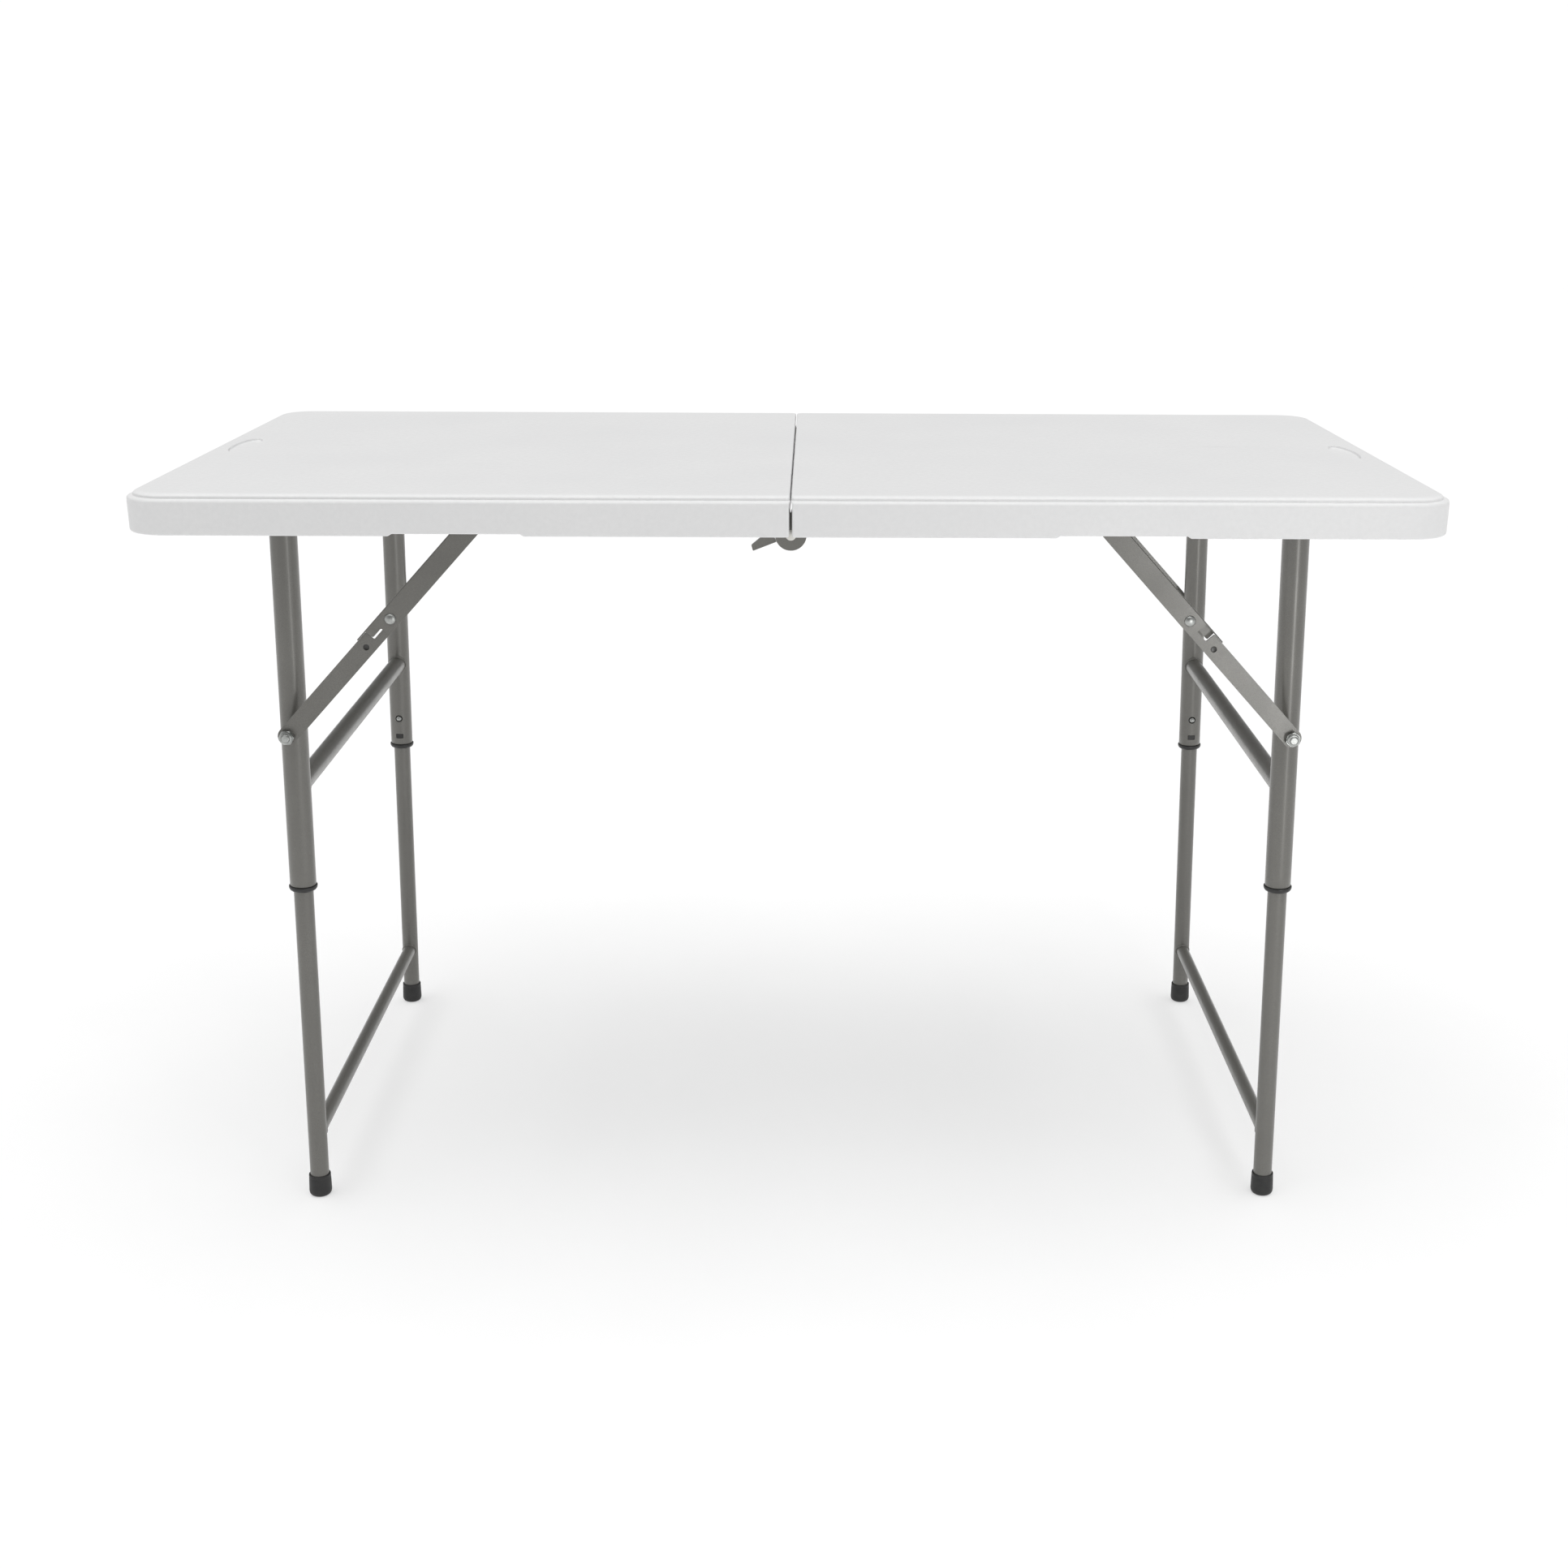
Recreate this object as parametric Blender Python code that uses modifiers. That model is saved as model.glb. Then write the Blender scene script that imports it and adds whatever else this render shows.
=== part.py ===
"""Fold-in-half table with height-adjustable folding legs.

Metres, +Z up. +X runs along the table, -Y is the front long side, the origin
is on the floor under the middle of the table. The two moulded top halves meet
at x = 0 and fold about a transverse axis there. A steel leg frame hangs under
each half; it folds inwards, its lower half telescopes, and two jointed braces
hold it open.
"""
import bpy
import bmesh
import math
from mathutils import Matrix, Vector

# ----------------------------------------------------------------- dimensions
LENGTH = 1.220
WIDTH = 0.610
HEIGHT = 0.737
RIM_T = 0.0375             # height of the moulded rim
DECK_T = 0.0083            # deck thickness inside the rim
RIM_W = 0.0155             # rim wall
CORNER_R = 0.040           # outer corners in plan
SEAM_R = 0.003             # corners at the seam in plan
EDGE_R = 0.0045            # rounding of the top and bottom edges
SEAM = 0.0013              # half of the gap between the two halves
NOTCH = (0.242, 0.367)     # relief in the rim's lower edge
NOTCH_H = 0.0030
NOTCH_RAMP = 0.0055
SEAM_RIB_W = 0.0100
SEAM_RIB_Y = 0.225
SEAM_RIB_Z = 0.7065

Z_RIM = HEIGHT - RIM_T
Z_DECK = HEIGHT - DECK_T

HINGE_Z = 0.6990           # axis the halves fold about
DISC_R = 0.0145
PIN_R = 0.0040

Z_AXLE = 0.7145            # leg pivot height, and brace pivots on the rails
X_AXLE = 0.4747
X_FOOT = 0.4900
Y_LEG = 0.2485

OUT_R = 0.0127             # outer leg tube
OUT_IN = 0.0115
IN_R = 0.0095              # inner leg tube
IN_IN = 0.0083
AXLE_R = 0.0095
UP_BAR_R = 0.0095
LOW_BAR_R = 0.0075
Z_OUT_END = 0.3423
Z_IN_TOP = 0.4220
Z_UP_BAR = 0.4420
Z_LOW_BAR = 0.0700
Z_BUTTON = 0.3750
Z_WINDOW = 0.3530
BUTTON_R = 0.00325
BUTTON_HOLE_R = 0.0042

FOOT_H = 0.0230
FOOT_RT = 0.0110
FOOT_RB = 0.0116

# layers across the brace and the rail, measured outwards from the centre line
RAIL_IN, RAIL_OUT = 0.2862, 0.2877
HUB_IN, HUB_OUT = 0.2842, 0.2857
RAIL_Z0, RAIL_Z1 = 0.7010, 0.7280
RAIL_END = 0.565
RAIL_LIP = 0.2680
FL_OUT = (0.2760, 0.2774)      # brace channel, flange next to the rail
PLATE = (0.2736, 0.2756)       # lower link
FL_IN = (0.2718, 0.2732)       # brace channel, flange next to the leg
COLLAR_END = 0.2714

BRACE_HALF = 0.0091            # half width of the lower link
CH_LOW = -0.0093               # open edge of the channel
CH_TOP = 0.0104                # back of the channel
CH_WEB = 0.0094                # inner face of the channel's back
CH_END = 0.0126                # channel ends this far past the elbow
TONGUE = 0.0252
STOP = 0.0365

D_BRACE_X = 0.2851             # brace pivot on the rail
LEG_BOLT = 0.2128              # brace pivot on the leg, from the axle
LEG_TOP = 0.0025               # the leg is coped onto the axle this far above its centre

GAP = 0.0003
SEG = 16

# ------------------------------------------------------------ derived geometry
SPLAY = math.atan2(X_FOOT - X_AXLE, Z_AXLE)
LEG_L = math.hypot(X_FOOT - X_AXLE, Z_AXLE)


def along(z):
    """Distance down the leg from its axle for a height above the floor."""
    return (Z_AXLE - z) / math.cos(SPLAY)


BX = X_AXLE + LEG_BOLT * math.sin(SPLAY)
BZ = Z_AXLE - LEG_BOLT * math.cos(SPLAY)
BD_OPEN = math.hypot(BX - D_BRACE_X, Z_AXLE - BZ)
BD_SHUT = D_BRACE_X - (X_AXLE - LEG_BOLT)
LINK_B = (BD_OPEN + BD_SHUT) / 2          # lower link, bolt to elbow
LINK_C = (BD_OPEN - BD_SHUT) / 2          # upper link, elbow to rail
SLOPE = math.atan2(Z_AXLE - BZ, BX - D_BRACE_X)
EX = D_BRACE_X + LINK_C * math.cos(SLOPE)
EZ = Z_AXLE - LINK_C * math.sin(SLOPE)

# ------------------------------------------------------------------ scene setup
for ob in list(bpy.data.objects):
    bpy.data.objects.remove(ob, do_unlink=True)


def collection(name):
    c = bpy.data.collections.get(name) or bpy.data.collections.new(name)
    if c.name not in [k.name for k in bpy.context.scene.collection.children]:
        bpy.context.scene.collection.children.link(c)
    return c


PARTS = collection("folding_table")
CUTTERS = collection("cutters")


def material(name, colour, roughness, metallic=0.0):
    m = bpy.data.materials.get(name) or bpy.data.materials.new(name)
    m.use_nodes = True
    b = m.node_tree.nodes["Principled BSDF"]
    b.inputs["Base Color"].default_value = (*colour, 1.0)
    b.inputs["Roughness"].default_value = roughness
    b.inputs["Metallic"].default_value = metallic
    m.diffuse_color = (*colour, 1.0)
    return m


M_TOP = material("moulded_white", (0.78, 0.78, 0.78), 0.55)
M_STEEL = material("powder_coat_grey", (0.165, 0.162, 0.145), 0.45, 0.3)
M_ZINC = material("zinc_plate", (0.62, 0.63, 0.60), 0.28, 1.0)
M_BLACK = material("black_plastic", (0.02, 0.02, 0.02), 0.4)
M_RUBBER = material("black_rubber", (0.018, 0.018, 0.018), 0.6)
M_PIN = material("white_nylon", (0.72, 0.71, 0.67), 0.45)


# -------------------------------------------------------------------- helpers
def smooth(me, angle=35):
    me.shade_smooth()
    me.set_sharp_from_angle(angle=math.radians(angle))


def add(name, me, mat=None, coll=None, parent=None, matrix=None):
    ob = bpy.data.objects.new(name, me)
    (coll or PARTS).objects.link(ob)
    if mat is not None:
        me.materials.clear()
        me.materials.append(mat)
    if parent is not None:
        ob.parent = parent
    if matrix is not None:
        if parent is not None:
            ob.matrix_local = matrix
        else:
            ob.matrix_world = matrix
    return ob


def as_cutter(ob):
    for c in list(ob.users_collection):
        c.objects.unlink(ob)
    CUTTERS.objects.link(ob)
    ob.hide_render = True
    ob.display_type = 'WIRE'
    return ob


def boolean(ob, tool, operation='DIFFERENCE'):
    m = ob.modifiers.new(operation.lower(), 'BOOLEAN')
    m.operation = operation
    m.solver = 'EXACT'
    m.object = tool
    return m


def cut(ob, *tools):
    for t in tools:
        boolean(ob, as_cutter(t), 'DIFFERENCE')


def fuse(ob, *tools):
    for t in tools:
        boolean(ob, as_cutter(t), 'UNION')


def cone_mesh(name, r1, r2, depth, segments):
    bm = bmesh.new()
    bmesh.ops.create_cone(bm, cap_ends=True, cap_tris=False, segments=segments,
                          radius1=r1, radius2=r2, depth=depth)
    me = bpy.data.meshes.new(name)
    bm.to_mesh(me)
    bm.free()
    smooth(me)
    return me


def box_mesh(name, lo, hi):
    bm = bmesh.new()
    size = [hi[i] - lo[i] for i in range(3)]
    mid = [(hi[i] + lo[i]) / 2 for i in range(3)]
    bmesh.ops.create_cube(bm, size=1.0,
                          matrix=Matrix.Translation(mid) @ Matrix.Diagonal((*size, 1)))
    me = bpy.data.meshes.new(name)
    bm.to_mesh(me)
    bm.free()
    return me


Y_AXIS = Matrix.Rotation(math.radians(-90), 4, 'X')     # local +Z becomes +Y


def rod_y(name, r, y0, y1, x=0.0, z=0.0, segments=SEG, mat=None, parent=None, r2=None):
    """Cylinder along Y from y0 to y1."""
    me = cone_mesh(name, r, r if r2 is None else r2, abs(y1 - y0), segments)
    mx = Matrix.Translation((x, (y0 + y1) / 2, z)) @ Y_AXIS
    return add(name, me, mat, parent=parent, matrix=mx)


def rod_z(name, r, z0, z1, x=0.0, y=0.0, segments=SEG, mat=None, parent=None):
    me = cone_mesh(name, r, r, abs(z1 - z0), segments)
    mx = Matrix.Translation((x, y, (z0 + z1) / 2))
    return add(name, me, mat, parent=parent, matrix=mx)


def box(name, lo, hi, mat=None, parent=None):
    return add(name, box_mesh(name, lo, hi), mat, parent=parent, matrix=Matrix.Identity(4))


def turned(name, profile, segments=SEG, mat=None, parent=None, matrix=None):
    """Closed ring profile of (radius, height), outer side listed top to bottom."""
    bm = bmesh.new()
    vs = [bm.verts.new((r, 0.0, h)) for r, h in profile]
    closed = profile[0][0] > 1e-6
    for a, b in zip(vs, vs[1:] + ([vs[0]] if closed else [])):
        bm.edges.new((a, b))
    me = bpy.data.meshes.new(name)
    bm.to_mesh(me)
    bm.free()
    # half a facet of turn puts a flat, not an edge, where the cross holes go
    ob = add(name, me, mat, parent=parent,
             matrix=(matrix or Matrix.Identity(4)) @ Matrix.Rotation(math.pi / segments, 4, 'Z'))
    s = ob.modifiers.new('turn', 'SCREW')
    s.axis = 'Z'
    s.angle = math.tau
    s.steps = segments
    s.render_steps = segments
    s.use_merge_vertices = True
    s.merge_threshold = 0.00001
    s.use_smooth_shade = True
    return ob


def plate(name, outline, t0, t1, plane='XZ', mat=None, parent=None, matrix=None):
    """Flat outline between two heights. plane XZ: thickness along Y; XY: along Z."""
    cu = bpy.data.curves.new(name, 'CURVE')
    cu.dimensions = '2D'
    cu.fill_mode = 'BOTH'
    cu.extrude = abs(t1 - t0) / 2
    sp = cu.splines.new('POLY')
    sp.points.add(len(outline) - 1)
    for p, (a, b) in zip(sp.points, outline):
        p.co = (a, b, 0.0, 1.0)
    sp.use_cyclic_u = True
    tmp = bpy.data.objects.new(name + "_outline", cu)
    PARTS.objects.link(tmp)
    bpy.context.view_layer.update()
    deps = bpy.context.evaluated_depsgraph_get()
    me = bpy.data.meshes.new_from_object(tmp.evaluated_get(deps))
    bpy.data.objects.remove(tmp, do_unlink=True)
    me.name = name
    bm = bmesh.new()
    bm.from_mesh(me)
    bmesh.ops.remove_doubles(bm, verts=bm.verts, dist=0.00002)
    mid = (t0 + t1) / 2
    if plane == 'XZ':
        # (a, b, n) -> (a, -n, b) keeps the faces pointing out
        mx = Matrix.Translation((0, mid, 0)) @ Matrix.Rotation(math.radians(90), 4, 'X')
    else:
        mx = Matrix.Translation((0, 0, mid))
    bmesh.ops.transform(bm, matrix=mx, verts=bm.verts)
    bmesh.ops.recalc_face_normals(bm, faces=bm.faces)
    bm.to_mesh(me)
    bm.free()
    smooth(me, 40)
    return add(name, me, mat, parent=parent, matrix=matrix or Matrix.Identity(4))


def arc(cx, cy, r, a0, a1, n):
    return [(cx + r * math.cos(math.radians(a0 + (a1 - a0) * i / n)),
             cy + r * math.sin(math.radians(a0 + (a1 - a0) * i / n))) for i in range(n + 1)]


def flip(outline, side):
    """Mirror an outline drawn for the right side onto the left one."""
    return outline if side > 0 else [(-a, b) for a, b in reversed(outline)]


def empty(name, matrix):
    e = bpy.data.objects.new(name, None)
    e.empty_display_size = 0.03
    CUTTERS.objects.link(e)
    e.matrix_world = matrix
    return e


def yspan(face, lo, hi):
    """Layer lo..hi outwards from the middle, on the front (-1) or back (+1)."""
    return (face * hi, face * lo) if face < 0 else (lo, hi)


SIDES = ((-1, 'left'), (1, 'right'))
FACES = ((-1, 'front'), (1, 'back'))


# ------------------------------------------------------------------ top halves
def top_half(side, word):
    hl, hw = LENGTH / 2, WIDTH / 2
    outline = (arc(hl - CORNER_R, hw - CORNER_R, CORNER_R, 0, 90, 7)
               + arc(SEAM + SEAM_R, hw - SEAM_R, SEAM_R, 90, 180, 2)
               + arc(SEAM + SEAM_R, -hw + SEAM_R, SEAM_R, 180, 270, 2)
               + arc(hl - CORNER_R, -hw + CORNER_R, CORNER_R, 270, 360, 7))
    top = plate('top_' + word, flip(outline, side), Z_RIM, HEIGHT, 'XY', M_TOP)
    bv = top.modifiers.new('edges', 'BEVEL')
    bv.width = EDGE_R
    bv.segments = 2
    bv.limit_method = 'ANGLE'
    bv.angle_limit = math.radians(60)
    il, iw, ir = hl - RIM_W, hw - RIM_W, CORNER_R - RIM_W
    inner = (arc(il - ir, iw - ir, ir, 0, 90, 5) + [(-0.01, iw), (-0.01, -iw)]
             + arc(il - ir, -iw + ir, ir, 270, 360, 5))
    cavity = plate('cavity_' + word, flip(inner, side), Z_RIM - 0.01, Z_DECK, 'XY')
    a, b = NOTCH
    relief = plate('relief_' + word,
                   flip([(a, Z_RIM - 0.002), (b, Z_RIM - 0.002), (b, Z_RIM),
                         (b - NOTCH_RAMP, Z_RIM + NOTCH_H), (a + NOTCH_RAMP, Z_RIM + NOTCH_H),
                         (a, Z_RIM)], side), -hw - 0.01, hw + 0.01)
    cut(top, cavity, relief)
    x0, x1 = sorted((side * SEAM, side * (SEAM + SEAM_RIB_W)))
    rib = box('seam_rib_' + word, (x0 + (0 if side > 0 else 0), -SEAM_RIB_Y, SEAM_RIB_Z),
              (x1, SEAM_RIB_Y, Z_DECK + 0.003))
    fuse(top, rib)
    return top


for s, w in SIDES:
    top_half(s, w)


# ----------------------------------------------------------------------- rails
LATCH_P = (-0.0300, 0.7120)


def rail(side, word, face, fword):
    name = 'rail_%s_%s' % (fword, word)
    y0, y1 = yspan(face, RAIL_IN, RAIL_OUT)
    half = math.sqrt(DISC_R ** 2 - (RAIL_Z0 - HINGE_Z) ** 2)
    start = 360 - 180 + math.degrees(math.asin((RAIL_Z0 - HINGE_Z) / DISC_R)) * -1
    if side < 0:
        # the left rail carries its own hinge disc in line with its web
        out = [(-RAIL_END, RAIL_Z0)]
        out += arc(0, HINGE_Z, DISC_R, start, start + 272, 14)
        out += [(-0.002, RAIL_Z1), (-RAIL_END, RAIL_Z1)]
        body = plate(name, out, y0, y1, 'XZ', M_STEEL)
        x0, x1 = -RAIL_END + 0.001, -0.004
    else:
        # the right rail steps inwards so that its disc lies beside the left one
        out = [(0.0175, RAIL_Z0), (RAIL_END, RAIL_Z0), (RAIL_END, RAIL_Z1), (0.0175, RAIL_Z1)]
        body = plate(name, out, y0, y1, 'XZ', M_STEEL)
        h0, h1 = yspan(face, HUB_IN, HUB_OUT)
        hub = [(-x, z) for x, z in reversed(
            [(-0.045, RAIL_Z0 + 0.0004)] + arc(0, HINGE_Z, DISC_R, start - 1.6, start + 272, 14)
            + [(-0.002, RAIL_Z1 - 0.0004), (-0.045, RAIL_Z1 - 0.0004)])]
        disc = plate(name + '_disc', hub, h0, h1, 'XZ')
        j0, j1 = yspan(face, HUB_IN + 0.0002, RAIL_OUT - 0.0002)
        step = box(name + '_step', (0.0215, j0, RAIL_Z0 + 0.0008), (0.0440, j1, RAIL_Z1 - 0.0008))
        fuse(body, disc, step)
        x0, x1 = 0.004, RAIL_END - 0.001
    f0, f1 = yspan(face, RAIL_LIP, RAIL_IN + 0.0009)
    lip = box(name + '_lip', (x0, f0, 0.7269), (x1, f1, 0.7284))
    fuse(body, lip)
    c0, c1 = yspan(face, HUB_IN - 0.004, RAIL_OUT + 0.004)
    cut(body,
        rod_y(name + '_axle_hole', AXLE_R + 0.0004, c0, c1, side * X_AXLE, Z_AXLE),
        rod_y(name + '_brace_hole', 0.0033, c0, c1, side * D_BRACE_X, Z_AXLE, 10),
        rod_y(name + '_hinge_hole', PIN_R + GAP, c0, c1, 0, HINGE_Z, 12))
    if side < 0 and face < 0:
        cut(body, rod_y(name + '_latch_hole', 0.0033, c0, c1, LATCH_P[0], LATCH_P[1], 10))
    return body


for s, w in SIDES:
    for f, fw in FACES:
        rail(s, w, f, fw)

# pins that join the rail discs at the seam
for f, fw in FACES:
    def yy(v):
        return f * v
    prof = [(0.0, 0.2892), (0.0030, 0.2892), (0.0052, 0.2886), (0.0052, 0.2880),
            (PIN_R, 0.2880), (PIN_R, 0.2839), (0.0062, 0.2839), (0.0062, 0.2828), (0.0, 0.2828)]
    turned('hinge_pin_' + fw, prof, 12, M_PIN,
           matrix=Matrix.Translation((0, 0, HINGE_Z)) @ Matrix.Rotation(math.radians(-90 * f), 4, 'X'))

# latch lever on the front left rail, and its pin
lx, lz = LATCH_P
lever = plate('latch_lever', [
    (-0.0133, 0.6923), (-0.0148, 0.6962), (-0.0150, 0.6996), (-0.0143, 0.7036), (-0.0190, 0.7120),
    (-0.0222, 0.7180), (-0.0275, 0.7205), (-0.0330, 0.7198), (-0.0372, 0.7155), (-0.0374, 0.7095),
    (-0.0330, 0.7050), (-0.0238, 0.6995), (-0.0363, 0.6888), (-0.0350, 0.6838)],
    -HUB_OUT, -HUB_IN, 'XZ', M_STEEL)
tab = plate('latch_tab', [(-0.0231, 0.7001), (-0.0363, 0.6888), (-0.0360, 0.6876), (-0.0222, 0.6994)],
            -HUB_OUT + 0.0002, -0.2745, 'XZ')
fuse(lever, tab)
cut(lever, rod_y('latch_bore', 0.0033, -0.29, -0.28, lx, lz, 10))
turned('latch_pin', [(0.0, 0.2886), (0.0052, 0.2886), (0.0052, 0.2880), (0.0030, 0.2880),
                     (0.0030, 0.2839), (0.0052, 0.2839), (0.0052, 0.2828), (0.0, 0.2828)],
       10, M_ZINC, matrix=Matrix.Translation((lx, 0, lz)) @ Matrix.Rotation(math.radians(90), 4, 'X'))


# ------------------------------------------------------------------ leg frames
# Each leg frame is drawn in its own axes: origin on the axle, -Z down the leg.
def leg_frame(side, word):
    hub = empty('axis_leg_' + word, Matrix.Translation((side * X_AXLE, 0, Z_AXLE))
                @ Matrix.Rotation(-side * SPLAY, 4, 'Y'))
    # axle, runs in the rails
    axle = rod_y('axle_tube_' + word, AXLE_R, -0.2887, 0.2887, mat=M_STEEL, parent=hub)
    cut(axle, rod_y('axle_bore_' + word, AXLE_R - 0.0013, -0.30, 0.30, parent=hub))
    # crossbars
    for nm, r, z, leg_r in (('upper_crossbar_', UP_BAR_R, Z_UP_BAR, OUT_R),
                            ('lower_crossbar_', LOW_BAR_R, Z_LOW_BAR, IN_R)):
        d = -along(z)
        reach = Y_LEG - leg_r * 0.62
        bar = rod_y(nm + word, r, -reach, reach, 0, d, mat=M_STEEL, parent=hub)
        cut(bar, rod_y(nm + word + '_bore', r - 0.0013, -0.3, 0.3, 0, d, parent=hub))
        for f, fw in FACES:
            cut(bar, rod_z(nm + word + '_mouth_' + fw, leg_r + GAP, d - 0.03, d + 0.03, 0,
                           f * Y_LEG, parent=hub))
    for f, fw in FACES:
        y = f * Y_LEG
        inward = -f
        tag = '%s_%s' % (fw, word)
        end = -along(Z_OUT_END)
        # outer tube
        o = turned('outer_leg_' + tag,
                   [(OUT_R, LEG_TOP), (OUT_R, end), (OUT_IN, end), (OUT_IN, LEG_TOP)],
                   SEG, M_STEEL, hub, Matrix.Translation((0, y, 0)))
        ya, yb = sorted((y - 0.02, y + 0.02))
        win = -along(Z_WINDOW)
        w0, w1 = sorted((y + inward * 0.004, y + inward * 0.02))
        e0, e1 = sorted((y - inward * 0.004, y - inward * 0.02))
        cut(o,
            rod_y('axle_eye_' + tag, AXLE_R + GAP, ya, yb, 0, 0, parent=hub),
            rod_y('bolt_eye_' + tag, 0.0042, e0, e1, 0, -LEG_BOLT, 10, parent=hub),
            rod_y('button_eye_' + tag, BUTTON_HOLE_R, w0, w1, 0, -along(Z_BUTTON), 10, parent=hub),
            box('window_' + tag, (-0.0043, w0, win - 0.0028), (0.0043, w1, win + 0.0028), parent=hub))
        # inner tube
        it, ib = -along(Z_IN_TOP), -LEG_L + 0.0053
        i = turned('inner_leg_' + tag, [(IN_R, it), (IN_R, ib), (IN_IN, ib), (IN_IN, it)],
                   SEG, M_STEEL, hub, Matrix.Translation((0, y, 0)))
        v0, v1 = sorted((y + inward * 0.003, y + inward * 0.02))
        cut(i, rod_y('button_seat_' + tag, BUTTON_HOLE_R, v0, v1, 0, -along(Z_BUTTON), 10, parent=hub))
        # bush with its collar under the outer tube and a tab in the window
        b = turned('bush_' + tag,
                   [(0.0112, end + 0.0245), (0.0112, end - GAP), (0.0138, end - GAP),
                    (0.0135, end - 0.0035), (0.0122, end - 0.0054), (0.0099, end - 0.0054),
                    (0.0099, end + 0.0245)],
                   SEG, M_BLACK, hub, Matrix.Translation((0, y, 0)))
        t0, t1 = sorted((y + inward * 0.0103, y + inward * 0.0125))
        fuse(b, box('bush_tab_' + tag, (-0.0039, t0, win - 0.0024), (0.0039, t1, win + 0.0024), parent=hub))
        # foot cap, its tread cut level with the floor
        fb = -LEG_L
        foot = turned('foot_' + tag,
                      [(0.0097, fb + FOOT_H + 0.0005), (FOOT_RT - 0.0004, fb + FOOT_H + 0.0005), (FOOT_RT, fb + FOOT_H - 0.0003),
                       (FOOT_RB, fb + 0.0045), (FOOT_RB - 0.0012, fb + 0.0013), (FOOT_RB - 0.0028, fb + 0.0001),
                       (FOOT_RB - 0.0031, fb - 0.003),
                       (0.0, fb - 0.003), (0.0, fb + 0.0049), (0.0098, fb + 0.0049)],
                      SEG, M_RUBBER, hub, Matrix.Translation((0, y, 0)))
        cut(foot, box('floor_' + tag, (side * X_FOOT - 0.03, y - 0.03, -0.02),
                      (side * X_FOOT + 0.03, y + 0.03, 0.0)))
        # snap button
        turned('snap_button_' + tag,
               [(0.0, 0.0147), (0.0016, 0.0143), (0.0028, 0.0132), (BUTTON_R, 0.0120),
                (BUTTON_R, 0.0117), (0.0, 0.0117)], 10, M_ZINC, hub,
               Matrix.Translation((0, y, -along(Z_BUTTON)))
               @ Matrix.Rotation(math.radians(-90 * inward), 4, 'X'))
        # shoulder stud in the outer wall of the leg, collar towards the brace; it
        # stops short of the hollow because the inner tube slides past it
        turned('brace_stud_' + tag,
               [(0.0, COLLAR_END), (0.0060, COLLAR_END), (0.0060, Y_LEG + OUT_R + GAP),
                (0.0039, Y_LEG + OUT_R + GAP), (0.0039, Y_LEG + 0.0105), (0.0, Y_LEG + 0.0105)],
               12, M_ZINC, hub,
               Matrix.Translation((0, 0, -LEG_BOLT)) @ Matrix.Rotation(math.radians(-90 * f), 4, 'X'))


for s, w in SIDES:
    leg_frame(s, w)


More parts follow.
